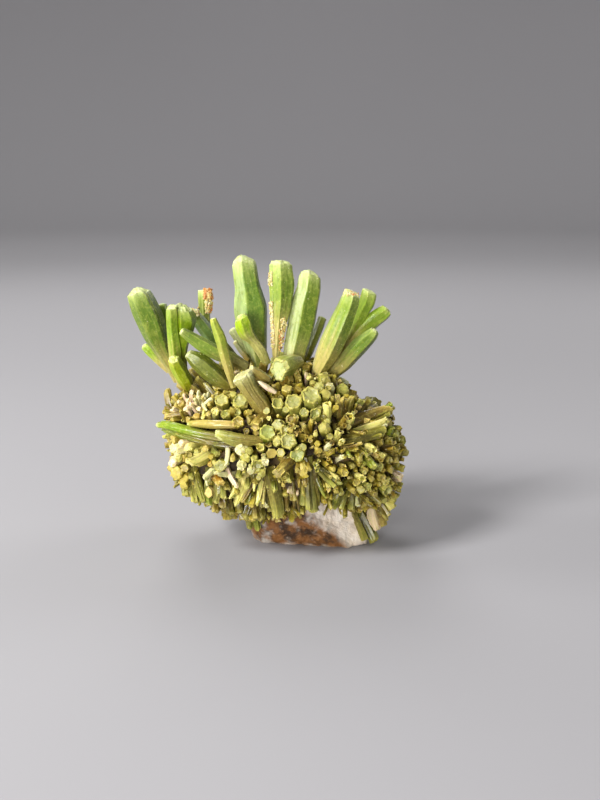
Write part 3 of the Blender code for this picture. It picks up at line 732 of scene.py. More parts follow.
# %% The standing prisms
STANDING = {
    "left_spray": ("prism_green", [
        seen([(174, 383, 181, 379), (165.5, 368.5, 175, 362), (154.5, 354, 170, 346), (145, 340, 167, 331),
              (137.5, 325, 164, 317), (131.5, 311, 158.5, 305.5), (128, 299, 152.5, 295.5), (126, 291, 146, 287.5)], (0.9, -1.0), 9,
             Skin(ROOT_SAND, paint(94, 120, 20), TIP, 0.25, 0.45), "worn",
             (Hexagon(-0.2, -0.06, 0.84, 0.0), Hexagon(0.24, 0.05, 0.8, 0.4)), (0.25, 0.1, 0.02, -0.4, 0, 0), ribs=0.02, crumble=0.16),
        seen([(172, 370, 178, 367), (164, 340, 174, 337), (158, 318, 170, 315), (156.5, 303, 166, 304)], (1.1, 2.2), 10,
             MAIN, "round", crumble=0.06),
        seen([(168, 374, 171, 368), (156, 363, 160.5, 354), (147, 354.5, 153.5, 346), (141, 348, 146, 342)], (0.9, 1.6), 20,
             FRESH, "round", crumble=0.08),
        seen([(178, 386, 187, 385), (171, 366, 183, 364), (168.5, 349, 182, 348), (166.8, 331, 179.5, 330),
              (166, 316, 178.5, 315.5), (166.3, 306.5, 177, 306.5)], (-0.2, -3.1), 22, FRESH, "worn", (), (0.2, 0.1, 0), crumble=0.12),
        seen([(182, 386, 190, 385), (178, 364, 187, 363), (175.5, 348, 188, 346), (174.5, 330, 194, 329),
              (174, 317, 196, 317.5), (175, 306, 190, 308.5)], (0.3, -2.3), 14,
             Skin(ROOT_SAND, paint(128, 156, 6), TIP, 0.2, 0.3), "worn", (Hexagon(0.24, 0.1, 0.78, 0.2),), (-0.4, 0.1, 0.1), crumble=0.14),
        seen([(186, 393, 194, 390), (180, 385, 192, 379), (174, 376, 188, 370), (169.5, 367, 183, 362), (168.5, 360.5, 178.5, 357)],
             (-1.0, -4.3), 12, LIMY, "worn", (Hexagon(-0.3, 0, 0.7, -0.2),), crumble=0.12),
    ]),
    "left_rear_spray": ("prism_green", [
        seen([(238, 371, 244, 364), (221, 355, 230, 346), (206, 341, 216, 331), (195, 327, 206, 319), (188, 314.5, 197, 309)],
             (3.1, 1.6), 12, Skin(ROOT_SAND, BLUE_GREEN, TIP, 0.3), "worn", crumble=0.18),
        seen([(206, 352, 213, 352), (202.5, 330, 211, 330), (199.5, 312, 210, 312), (198.3, 298, 211.5, 298),
              (198.5, 290, 210, 289.5)], (2.8, 3.7), 22, Skin(ROOT_SAND, GREY_GREEN, TIP, 0.3), "flat", crumble=0.05),
    ]),
    "slender_prism": ("prism_olive", [
        seen([(244, 371, 248, 362), (230, 364.5, 236.5, 354.5), (213, 359, 220, 346.5), (196.5, 349, 204, 338),
              (184, 338.5, 190.5, 331), (178, 333.5, 183.5, 328.5)], (-2.0, -4.8), 16,
             Skin(paint(150, 140, 84), paint(138, 162, 66), paint(190, 200, 110), 0.35), "round", crumble=0.08),
    ]),
    "olive_prism": ("prism_olive", [
        seen([(231, 395, 237, 388), (214, 386, 227, 374.5), (201.5, 377, 215, 362), (191, 366.5, 203, 353), (184.5, 356.5, 190.5, 350)],
             (-2.8, -3.9), 3, DULL, "worn", ribs=0.02, crumble=0.04),
    ]),
    "upright_prism": ("prism_olive", [
        seen([(231, 388, 236, 387), (225, 372, 233.5, 370), (219.5, 355, 229.5, 353), (215, 338.5, 225, 336.5),
              (211, 325, 218.7, 324), (210, 318.5, 215.5, 317.5)], (-5.0, -5.0), 26, STALK, "round", crumble=0.04),
    ]),
    "tall_prism_left": ("prism_green", [
        seen([(253, 374, 266, 373), (246, 350, 267, 349), (238.5, 328, 267, 327), (234.5, 310, 267, 311),
              (234.5, 298, 264, 299), (235, 286, 260, 287), (233.5, 273, 257.5, 274), (231.5, 254.5, 255, 256.5)], (2.2, 2.4), 24,
             Skin(paint(150, 152, 92), paint(114, 146, 56), TIP, 0.18, 1.0), "worn",
             (Hexagon(-0.1, -0.05, 0.93, 0.0), Hexagon(0.3, 0.1, 0.74, 0.2)), (0.42, 0.1, 0.08, -0.42, 0.05, -0.1),
             ribs=0.018, crumble=0.1),
        seen([(250, 363, 255, 358), (242.5, 352, 249.5, 347), (235, 341.5, 243, 336), (227.5, 330, 236, 327)], (2.6, 3.8), 18,
             Skin(paint(140, 134, 88), paint(150, 152, 108), paint(184, 184, 140), 0.3), "round"),
        seen([(246, 361, 250, 359), (238, 351, 242, 348.5), (232.5, 342, 236.5, 340)], (0.6, 0.4), 18,
             Skin(SAND, paint(206, 200, 160), CREAM, 0.3), "round", columns=4, rings=20),
    ]),
    "lime_prism": ("prism_lime", [
        seen([(264, 366, 270.5, 362), (257, 354, 265, 348), (249, 343.5, 257.5, 338.5), (240, 336, 253.5, 331),
              (235, 325.5, 251, 322.5), (234.5, 317, 246, 313)], (-1.5, -1.9), 28,
             Skin(paint(182, 172, 108), paint(154, 184, 0), paint(178, 200, 0), 0.6, 0.1), "round", crumble=0.06, ribs=0.03),
    ]),
    "tall_prism_middle": ("prism_green", [
        seen([(273.5, 366, 278, 366), (272, 348, 281, 348), (272, 330, 284.5, 330), (270.5, 312, 290, 312),
              (270, 295, 293, 297), (269, 280, 294, 283), (270.5, 260.5, 291, 262)], (-0.6, 1.2), 30,
             Skin(paint(200, 182, 114), paint(124, 148, 44), TIP, 0.45, 0.5), "worn",
             (Hexagon(-0.24, -0.06, 0.8, 0.1), Hexagon(0.26, -0.03, 0.78, 0.05, 3), Hexagon(0.0, -0.2, 0.74, 0.2, -4)),
             ribs=0.07, crumble=0.14),
    ]),
    "tall_prism_right": ("prism_green", [
        seen([(284, 360, 303, 366), (283.5, 350, 306, 354), (285.5, 336, 311, 340), (288.5, 319, 315.5, 322),
              (292, 301, 318.5, 304), (297, 286, 321, 288), (300, 270, 320.5, 272)], (0.5, 1.4), 24,
             Skin(paint(168, 162, 98), paint(110, 134, 34), TIP, 0.25, 1.2), "worn",
             (Hexagon(-0.16, 0.0, 0.87, 0.15), Hexagon(0.18, 0, 0.85, 0.25)), (0.3, 0, 0.05, -0.25, 0, -0.03), ribs=0.025, crumble=0.13),
        seen([(296, 362, 304, 364), (302.5, 345, 309, 348), (306.5, 332, 312, 334)], (1.2, 1.8), 10, DULL, "round"),
    ]),
    "small_rear_prism": ("prism_olive", [
        seen([(298, 368, 303.5, 373), (304.5, 353, 311, 358), (310.5, 338, 318, 342), (315, 326, 323, 330), (318.5, 316, 327, 318.5)], (3.2, 4.4), 8,
             Skin(OLIVE, paint(128, 136, 50), PALE, 0.3), "worn", crumble=0.06),
    ]),
    "right_spray": ("prism_green", [
        seen([(311, 372, 323, 376), (315, 356, 333.5, 363), (320.5, 340, 342.5, 349), (328, 323.5, 349, 333),
              (336.5, 307, 355, 316), (341, 298, 358.5, 305), (345, 289.5, 359.5, 295.5)], (-0.6, -2.2), 41,
             Skin(paint(196, 178, 108), paint(126, 152, 28), TIP, 0.38, 0.6), "worn",
             (Hexagon(-0.16, 0.0, 0.86, 0.0), Hexagon(0.2, 0.04, 0.82, 0.4)), (0, 0.1, 0), ribs=0.02, crumble=0.14),
        seen([(333, 362, 338, 366), (341, 343, 349, 349), (350, 325, 360, 331), (356, 309, 368, 316), (360, 297, 374.5, 305),
              (362.5, 287.5, 377, 294)], (1.4, 1.4), 20, FRESH, "worn", (Hexagon(0.25, 0, 0.78, 0.3),), crumble=0.1),
        seen([(336, 349, 341, 356), (347, 336, 355, 344), (358, 324, 368, 336), (369, 313, 379.5, 326), (378, 307, 388, 319),
              (385, 304, 391.5, 313.5)], (1.3, 1.6), 12, FRESH, "round", crumble=0.1),
        seen([(328, 369, 336, 379), (337, 359, 348.5, 370), (346, 347.5, 359, 359.5), (357, 336.5, 368.5, 349),
              (366.5, 330, 375.5, 340), (373, 327, 378.5, 333)], (0.2, -1.8), 2,
             Skin(paint(170, 156, 88), paint(104, 130, 30), TIP, 0.35, 0.5), "round", crumble=0.08),
    ]),
    "broken_prism": ("prism_tan", [
        seen([(261, 421, 276, 413), (252, 408, 268.5, 399), (243, 394.5, 259, 386), (235, 383, 248.5, 366)], (-6.4, -7.2), 15,
             BARK, "flat", (Hexagon(-0.3, 0.1, 0.74, 0.15), Hexagon(0.3, -0.1, 0.74, 0.3)), crumble=0.12, ribs=0.08),
        seen([(268, 384, 271, 377), (258, 379, 263, 371), (248, 373, 252, 365.5)], (-5.6, -6.6), 20,
             Skin(BROWN, paint(178, 152, 80), paint(196, 180, 100), 0.2), "flat", crumble=0.08, columns=6, rings=20),
        seen([(274, 394, 277, 391), (265, 389.5, 268.5, 385), (257, 382, 259, 380)], (-7.0, -7.4), 10,
             Skin(PINK, PINK, FROST, 0.3), "pointed", columns=4, rings=16),
    ]),
    "left_side_spray": ("prism_olive", [
        seen([(238, 445, 240, 437), (220, 441.5, 223, 433.5), (203, 438.5, 205, 430), (188, 435, 190.5, 426.5), (174, 431.5, 177, 422.5),
              (163, 428.5, 165, 420.5), (156.5, 427.5, 158, 422)], (-7.6, -1.2), 8,
             Skin(paint(120, 110, 50), paint(120, 144, 16), paint(168, 186, 10), 0.4, 0.1), "worn",
             (Hexagon(-0.2, -0.3, 0.8, 0.8), Hexagon(0.3, -0.2, 0.76, 1.4)), bow=-1.3, ribs=0.07, crumble=0.12),
        seen([(243, 453, 244, 444.5), (224, 450.5, 226, 440.5), (208, 447.5, 210, 437.5), (193, 443.5, 195.5, 434), (179, 439, 181.5, 430.5),
              (168, 434, 170, 427.5), (162, 431.5, 163.5, 427)], (-7.4, -1.8), 22,
             Skin(paint(120, 104, 48), paint(104, 112, 28), paint(140, 160, 24), 0.5, 0.1), "worn",
             (Hexagon(0.3, -0.2, 0.78, 1.0), Hexagon(-0.3, -0.1, 0.74, 0.5)), bow=-1.2, ribs=0.08, crumble=0.12),
        seen([(250, 450, 251, 443), (230, 450, 231, 441), (210, 448.5, 212, 440), (196, 446, 197, 439.5)], (-8.4, -5.0), 20,
             Skin(BROWN, paint(100, 104, 26), paint(96, 124, 30), 0.5), "pointed", bow=-0.6, ribs=0.06),
        seen([(263, 443, 263.5, 436.5), (248, 446, 249, 435), (235, 446, 237, 433), (223, 441.5, 226, 431), (214, 435.5, 217, 430)],
             (-8.7, -8.6), 28, Skin(paint(130, 112, 56), paint(150, 146, 70), paint(196, 200, 80), 0.45), "worn",
             (Hexagon(0.26, -0.2, 0.78, 0.5), Hexagon(-0.3, -0.1, 0.74, 0.9)), bow=-0.2, ribs=0.08, crumble=0.14),
        seen([(236, 428.5, 236, 421), (222, 429, 222, 420.5), (207, 428.5, 207, 420), (194, 427, 194, 420.8), (187.5, 426, 188, 422)],
             (-8.1, -5.2), 8, Skin(paint(176, 148, 80), paint(176, 156, 76), paint(182, 196, 24), 0.3), "worn",
             (Hexagon(0.2, -0.3, 0.8, 0.6),), bow=-0.5, ribs=0.06, crumble=0.1),
    ]),
}

pieces = {}
for node, (slot, crystals) in STANDING.items():
    pool = new_pool()
    for i, crystal in enumerate(crystals):
        grow(pool, crystal._replace(seed=len(node) * 3 + i + 1))
    pieces[node] = show(finish_pool(node + "_crystals", pool, PRISM, 19.0), slot, node)

# %% [markdown]
# The crust is a lump that small crystals cover. Its shape is the same squarish egg as the
# solid's: a radius for every direction, with a few swellings and ripples. Heights over it
# and the way that crystals grow out of it are worked out from that radius.

# %% Shape of the lump
LUMP_CENTRE = Vector((1.9, 0.3, 10.8)) + SHIFT
LUMP_RADII = np.array((12.7, 8.8, 7.8))
LUMP_SQUARENESS = 2.6
SWELLINGS = [
    ((-0.05, -0.1, 1.0), 0.16, 0.45),
    ((-0.85, 0.0, 0.45), 0.08, 0.35),
    ((0.9, -0.3, -0.35), 0.05, 0.4),
    ((-0.6, 0.1, -0.8), -0.12, 0.4),
    ((0.4, -0.6, -0.7), -0.2, 0.35),
]
RIPPLE_HEIGHT = 0.03
RIPPLES = np.array((5.0, 6.0, 7.0))
GROWTH_LEFT = np.array(Vector((-4.5, 0.8, 11.5)) + SHIFT)
GROWTH_RIGHT = np.array(Vector((8.0, 0.8, 10.5)) + SHIFT)


def unit(rows):
    """Rows of vectors, each made one long."""
    return rows / np.linalg.norm(rows, axis=1)[:, None]


def lump_radius(ways):
    """The distance from the lump's centre to its surface, for rows of unit directions."""
    total = (np.abs(ways / LUMP_RADII) ** LUMP_SQUARENESS).sum(axis=1)
    radius = total ** (-1 / LUMP_SQUARENESS)
    for toward, part, spread in SWELLINGS:
        toward = np.array(toward) / np.linalg.norm(toward)
        angle = np.arccos(np.clip(ways @ toward, -1, 1))
        radius = radius * (1 + part * np.exp(-((angle / spread) ** 2)))
    waves = np.sin(ways * RIPPLES + np.arange(3)).sum(axis=1)
    return radius * (1 + RIPPLE_HEIGHT * waves)


def height_over(points):
    """How far rows of points are outside the lump, measured from its centre."""
    away = points - np.array(LUMP_CENTRE)
    far = np.linalg.norm(away, axis=1)
    return far - lump_radius(away / far[:, None])


def growth_way(points):
    """The direction in which crystals grow at rows of points: away from a line inside."""
    line = GROWTH_RIGHT - GROWTH_LEFT
    part = np.clip((points - GROWTH_LEFT) @ line / (line @ line), 0, 1)
    return unit(points - (GROWTH_LEFT + part[:, None] * line))


NEAR_DEPTH, FAR_DEPTH, DEPTH_STEPS = 110.0, 160.0, 500


def on_lump(u, v, high):
    """The place seen at a pixel that is this high over the lump, or as near to it as there is."""
    depths = np.linspace(NEAR_DEPTH, FAR_DEPTH, DEPTH_STEPS)
    points = np.array(EYE) + depths[:, None] * np.array(ray(u, v))
    over = height_over(points)
    hits = np.flatnonzero(over < high)
    return Vector(points[hits[0] if len(hits) else over.argmin()])


print("the pixel (300, 400) meets the lump at", [round(x, 1) for x in on_lump(300, 400, 0)])

# %% [markdown]
# Two questions are asked about the picture: whether a place falls inside the edge of the
# crust, so that nothing is scattered past it, and whether it falls behind one of the blades
# that lie across the crust on the left, which have to stay in view.

# %% Edge of the crust in the picture
CRUST_EDGE = [
    (165, 391), (180, 390), (198, 385), (212, 376), (232, 355), (262, 343), (302, 345), (330, 362), (345, 383),
    (371, 401), (392, 405), (398, 420), (409, 438), (406, 458), (402, 475), (408, 492), (405, 506), (388, 522),
    (381, 538), (363, 544), (330, 542), (300, 536), (273, 527), (256, 531), (241, 525), (218, 516), (198, 505),
    (180, 496), (172, 478), (168, 457), (162, 438), (160, 420), (163, 404),
]


def picture_of(points):
    """The pixel of the picture that each point falls on."""
    local = (points - np.array(EYE)) @ np.array(LOOK.to_matrix())
    return PICTURE[0] / 2 - local[:, 0] / local[:, 2] * FOCAL, PICTURE[1] / 2 + local[:, 1] / local[:, 2] * FOCAL


def inside_edge(points):
    """Which points fall inside the edge of the crust in the picture."""
    u, v = picture_of(points)
    inside = np.zeros(len(u), bool)
    for (first_u, first_v), (next_u, next_v) in zip(CRUST_EDGE, CRUST_EDGE[1:] + CRUST_EDGE[:1]):
        if first_v != next_v:
            crossing = first_u + (v - first_v) / (next_v - first_v) * (next_u - first_u)
            inside ^= ((first_v > v) != (next_v > v)) & (u < crossing)
    return inside


def behind_blades(points, margin):
    """Which points fall behind a blade of the left side spray in the picture, within a margin in pixels."""
    u, v = picture_of(points)
    behind = np.zeros(len(u), bool)
    for blade in STANDING["left_side_spray"][1]:
        blade_u, blade_v = picture_of(np.array([tuple(m) for m in blade.middles]))
        for i in range(len(blade_u) - 1):
            line = np.array((blade_u[i + 1] - blade_u[i], blade_v[i + 1] - blade_v[i]))
            part = np.clip(((u - blade_u[i]) * line[0] + (v - blade_v[i]) * line[1]) / (line @ line), 0, 1)
            gap = np.hypot(u - blade_u[i] - part * line[0], v - blade_v[i] - part * line[1])
            behind |= gap < max(blade.halves[i : i + 2]) / pixel_size(LUMP_CENTRE) + margin
    return behind


print("points of the edge:", len(CRUST_EDGE))

# %% [markdown]
# The crystals of the crust that can be told apart in the photograph are placed one by
# one, by the pixel of their tip, and they stand on the lump behind that pixel. A row has
# the tip, the width in pixels, the tint and the kind of end. One that lies over has the
# pixel of its root too. All others grow straight out.

# %% Crust crystals that can be told apart
Seen = namedtuple("Seen", "u v wide tint end root high", defaults=("flat", None, 1.8))
CROWN = [
    Seen(293.5, 401, 18, PALE, "sunken"), Seen(311, 394.5, 20, PALE, "sunken", None, 2.1),
    Seen(277.5, 403, 13, PALE, "hollow"), Seen(304, 412, 10, GREY_GREEN, "sunken"),
    Seen(315, 413, 11, GREY_GREEN, "hollow"), Seen(287, 388, 10, YELLOW, "flat"),
    Seen(325, 376, 13, GREY_GREEN, "round", None, 2.2), Seen(330, 384, 12, FROST, "round"),
    Seen(319, 386, 11, GREY_GREEN, "worn"), Seen(343, 388, 13, BRIGHT, "worn", None, 1.2),
    Seen(327, 403, 11, CREAM, "deep", (325, 419)), Seen(337, 396, 7, SAND, "flat", (338, 412)),
    Seen(342, 398, 7, SAND, "worn", (343, 413)), Seen(347, 399, 6, TAN, "flat", (346, 412)),
    Seen(352, 396, 9, YELLOW, "worn", (349, 411)), Seen(333, 397, 5, YELLOW, "worn", (334, 410)),
    Seen(349, 416.5, 11, CREAM, "deep"), Seen(325, 427, 14, GREY_GREEN, "round", None, 2.4),
    Seen(328, 421, 8, GREY_GREEN, "worn", None, 2.0), Seen(296, 417, 5, SAND, "flat", (296, 429)),
    Seen(303, 425, 6, TAN, "flat", (307, 433)), Seen(312, 420, 6, YELLOW, "worn", (311, 431)),
    Seen(268, 432, 16, BRIGHT, "sunken", None, 2.2), Seen(278, 424, 13, PALE, "flat"),
    Seen(288, 441, 16, PALE, "sunken", None, 2.2), Seen(285, 429, 10, PALE, "hollow"),
    Seen(277, 441, 9, PALE, "worn"), Seen(297, 455, 15, GREEN, "sunken"), Seen(290, 430, 6, YELLOW, "worn"),
    Seen(254, 427, 14, SAND, "hollow", (267, 419), 2.0), Seen(248, 419, 8, TAN, "flat", (262, 415)),
    Seen(221.5, 399.5, 13, PALE, "sunken", None, 2.0), Seen(240.5, 400.5, 16, PALE, "sunken", None, 2.0),
    Seen(225, 413.5, 9, PALE, "hollow"), Seen(238, 421.5, 14, YELLOW, "hollow", None, 2.1),
    Seen(215, 410, 8, CREAM, "hollow"), Seen(208, 414, 6, SAND, "worn"), Seen(195.5, 416, 7, AMBER, "worn"),
    Seen(225, 392, 6, YELLOW, "worn"), Seen(231, 393, 5, AMBER, "worn"), Seen(249, 412, 7, YELLOW, "worn"),
    Seen(232, 410, 7, YELLOW, "worn"), Seen(269, 418, 5, CREAM, "flat"), Seen(261, 420, 6, TAN, "worn"),
    Seen(246.5, 353, 6.5, YELLOW, "round", None, 1.2), Seen(245, 361, 5, CREAM, "worn", None, 1.3),
    Seen(253, 361, 6, CREAM, "round", None, 1.5), Seen(263, 361, 9, CREAM, "worn", (262, 371), 1.6),
    Seen(236, 371, 8, PINK, "worn", None, 1.3), Seen(232, 381, 5, YELLOW, "worn", None, 1.4),
    Seen(227, 385, 5, AMBER, "worn", None, 1.4), Seen(296, 371, 7, SAND, "worn", (300, 380), 1.5),
    Seen(301, 368, 5, CREAM, "pointed", (300, 379), 1.6), Seen(291, 366, 6, PALE, "worn", (297, 376), 1.6),
    Seen(306, 372, 4, PINK, "pointed", (306, 382), 1.6), Seen(299, 376, 6, TAN, "worn", None, 1.5),
    Seen(309, 378, 6, CREAM, "worn", (318, 381), 1.5), Seen(240, 360, 6, TAN, "worn", None, 1.0),
    Seen(228, 371, 7, OLIVE, "worn", None, 1.0), Seen(256, 369, 6, TAN, "worn", None, 1.3),
]
SHOULDER = [
    Seen(167, 389.5, 9, YELLOW, "worn", (174, 413), 2.2), Seen(184, 393, 5, PINK, "round", (188, 408), 2.2),
    Seen(191, 391, 5, PINK, "round", (193, 406), 2.2), Seen(199, 390, 4.5, FROST, "pointed", (200, 404), 2.3),
    Seen(205, 393, 4, FROST, "pointed", (202, 405), 2.3), Seen(209, 391, 4.5, FROST, "pointed", (203, 404), 2.3),
    Seen(212, 398, 4, FROST, "worn", (204, 407), 2.2), Seen(206, 410, 4.5, FROST, "pointed", (200, 402), 2.0),
    Seen(185, 410, 6, PINK, "worn", (201, 401), 2.2), Seen(165, 416, 6, SAND, "worn", (183, 414), 1.7),
    Seen(180, 410, 4, YELLOW, "worn", (189, 421), 1.9), Seen(187, 399, 5, PINK, "worn", (190, 411), 2.0),
    Seen(181, 397, 4.5, SAND, "worn", (186, 409), 2.0), Seen(213, 395, 4, SAND, "worn", (213, 412), 2.2),
    Seen(203, 418, 4, CREAM, "round", (203, 407), 1.9), Seen(195, 398, 4, FROST, "worn", (197, 408), 2.2),
    Seen(190, 404, 5, PINK, "worn", None, 1.9), Seen(198, 409, 5, PINK, "worn", None, 1.8),
    Seen(175, 404, 5, SAND, "worn", None, 1.7), Seen(172, 409, 6, PINK, "worn", None, 1.5),
    Seen(209, 404, 5, SAND, "worn", None, 1.9), Seen(178, 401, 5, PINK, "worn", None, 1.9),
    Seen(163, 412, 5, YELLOW, "worn", (176, 415), 1.5), Seen(216, 388, 5, YELLOW, "worn", None, 1.4),
    Seen(188, 375, 9, OLIVE, "worn", (206, 397), 2.0), Seen(197, 378, 8, TAN, "worn", (212, 398), 1.9),
    Seen(205, 383, 8, OLIVE, "worn", (217, 400), 1.8), Seen(192, 386, 7, TAN, "worn", (203, 401), 1.8),
]
FRONT = [
    Seen(260, 447, 9.5, CREAM, "deep", None, 2.3), Seen(241, 450, 12, FROST, "round", None, 2.0),
    Seen(249, 452, 9, PALE, "worn", None, 2.0), Seen(245, 458, 11, BRIGHT, "worn", None, 2.0),
    Seen(258, 467, 16, GREEN, "hollow", None, 2.2), Seen(265, 462, 8, FROST, "worn", None, 2.2),
    Seen(251, 471, 8, FROST, "worn", None, 2.1), Seen(241, 467, 10, FROST, "worn", None, 1.9),
    Seen(262, 474, 8, PALE, "worn", None, 2.0), Seen(254, 459, 7, PALE, "worn", None, 2.2),
    Seen(277, 474, 13, TAN, "flat", (293, 458), 2.1), Seen(303, 473, 12, YELLOW, "worn", (302, 460), 1.8),
    Seen(297, 471, 7, TAN, "worn", (299, 458), 1.9), Seen(309, 470, 7, TAN, "worn", (305, 460), 1.7),
    Seen(284, 486, 5, SAND, "worn", (281, 476), 1.9), Seen(289, 482, 8, PALE, "worn", (292, 470), 1.7),
    Seen(306, 487, 7, TAN, "pointed", (303, 472), 1.4), Seen(299, 488, 5, SAND, "pointed", (298, 474), 1.4),
    Seen(291, 492, 8, PINK, "worn", None, 1.0), Seen(297, 494, 5, PINK, "worn", None, 0.9),
    Seen(313, 511, 13, PALE, "worn", (309, 466), 1.9), Seen(318, 506, 6, OLIVE, "worn", (315, 470), 1.2),
    Seen(326, 499, 5.5, BRIGHT, "pointed", (317, 474), 1.8), Seen(279, 518, 14, PALE, "flat", (270, 477), 2.3),
    Seen(271, 511, 7, OLIVE, "worn", (266, 480), 1.4), Seen(257, 506, 6, CREAM, "pointed", (262, 479), 2.1),
    Seen(254, 491, 4, CREAM, "pointed", (257, 478), 1.9), Seen(242, 502, 8, TAN, "worn", (252, 478), 1.7),
    Seen(235, 507, 8, CREAM, "pointed", (245, 480), 1.9), Seen(249, 504, 9, BRIGHT, "worn", (252, 484), 1.3),
    Seen(266, 508, 7, FROST, "worn", (262, 494), 1.5), Seen(245, 519, 13, OLIVE, "round", (250, 504), 1.7),
    Seen(262, 520, 13, OLIVE, "round", (259, 505), 1.6), Seen(253, 521, 9, YELLOW, "hollow", (253, 508), 2.1),
    Seen(249, 528, 8, PALE, "worn", (251, 514), 1.8), Seen(258, 529, 8, BRIGHT, "worn", (257, 515), 1.7),
    Seen(230, 499, 7, CREAM, "pointed", (240, 481), 2.0), Seen(237, 487, 5.5, PINK, "worn", (228, 463), 2.1),
    Seen(286, 509, 7, TAN, "worn", (284, 490), 1.1), Seen(298, 514, 7, SAND, "worn", (296, 498), 0.8),
    Seen(291, 517, 6, OLIVE, "worn", (290, 498), 0.8), Seen(285, 496, 8, OLIVE, "worn", None, 1.2),
    Seen(293, 501, 7, TAN, "worn", (292, 488), 1.0), Seen(275, 492, 6, GREEN, "worn", (270, 478), 1.7),
    Seen(239, 478, 7, GREY_GREEN, "worn", (243, 466), 1.8), Seen(248, 488, 6, PALE, "worn", (250, 476), 1.6),
]
LEFT_FACE = [
    Seen(163, 437, 5, CREAM, "worn", (173, 436), 1.6), Seen(173, 441, 9, SAND, "worn", None, 1.3),
    Seen(175, 452, 14, FROST, "round", None, 1.7), Seen(187, 448, 11, CREAM, "round", None, 1.8),
    Seen(181, 443, 8, PINK, "worn", None, 1.7), Seen(171, 449, 9, FROST, "round", None, 1.6),
    Seen(189, 463, 16, CREAM, "flat", (204, 453), 2.1), Seen(175, 474, 14, YELLOW, "worn", None, 1.8),
    Seen(184, 468, 9, TAN, "flat", None, 1.7), Seen(172, 463, 9, PINK, "worn", None, 1.5),
    Seen(183, 484, 11, YELLOW, "worn", None, 1.9), Seen(186, 496, 10, PALE, "round", (182, 474), 2.2),
    Seen(195, 503, 10, PALE, "round", (190, 472), 2.3), Seen(204, 502, 9, GREY_GREEN, "round", (196, 470), 2.4),
    Seen(209, 505, 9, GREEN, "round", (209, 478), 2.2), Seen(216, 503, 9, PALE, "round", (217, 474), 2.3),
    Seen(204, 478.5, 7, FROST, "flat", (218, 466), 2.2), Seen(207, 484, 5, FROST, "worn", (212, 474), 1.8),
    Seen(220, 466, 12, GREEN, "flat", None, 1.9), Seen(210, 465, 6, AMBER, "worn", None, 1.4),
    Seen(215, 473, 6, FROST, "worn", (232, 472), 2.0), Seen(221, 484, 11, AMBER, "worn", (217, 473), 2.0),
    Seen(226, 466, 5, FROST, "worn", (226, 449), 1.9), Seen(218, 455, 7, GREY_GREEN, "worn", (214, 447), 1.7),
    Seen(224, 499, 8, PALE, "round", (222, 480), 2.0), Seen(228, 490, 8, OLIVE, "worn", (224, 474), 1.7),
    Seen(199, 462, 8, OLIVE, "worn", None, 1.2), Seen(205, 449, 7, SAND, "worn", None, 1.6),
    Seen(232, 459, 7, TAN, "worn", None, 1.5), Seen(214, 462, 5, PALE, "worn", None, 1.7),
    Seen(216, 512, 9, TAN, "worn", (213, 499), 1.7), Seen(224, 508, 11, TAN, "worn", (222, 495), 1.5),
    Seen(232, 515, 10, OLIVE, "round", (230, 501), 1.6), Seen(240, 512, 8, OLIVE, "worn", (238, 500), 1.4),
    Seen(226, 519, 7, YELLOW, "worn", (225, 506), 1.5), Seen(197, 488, 6, OLIVE, "worn", (196, 476), 1.5),
    Seen(196, 452, 7, GREY_GREEN, "worn", None, 1.4), Seen(191, 479, 7, PALE, "worn", (190, 468), 1.6),
    Seen(178, 459, 7, PALE, "worn", None, 1.6), Seen(170, 469, 7, SAND, "worn", None, 1.4),
]
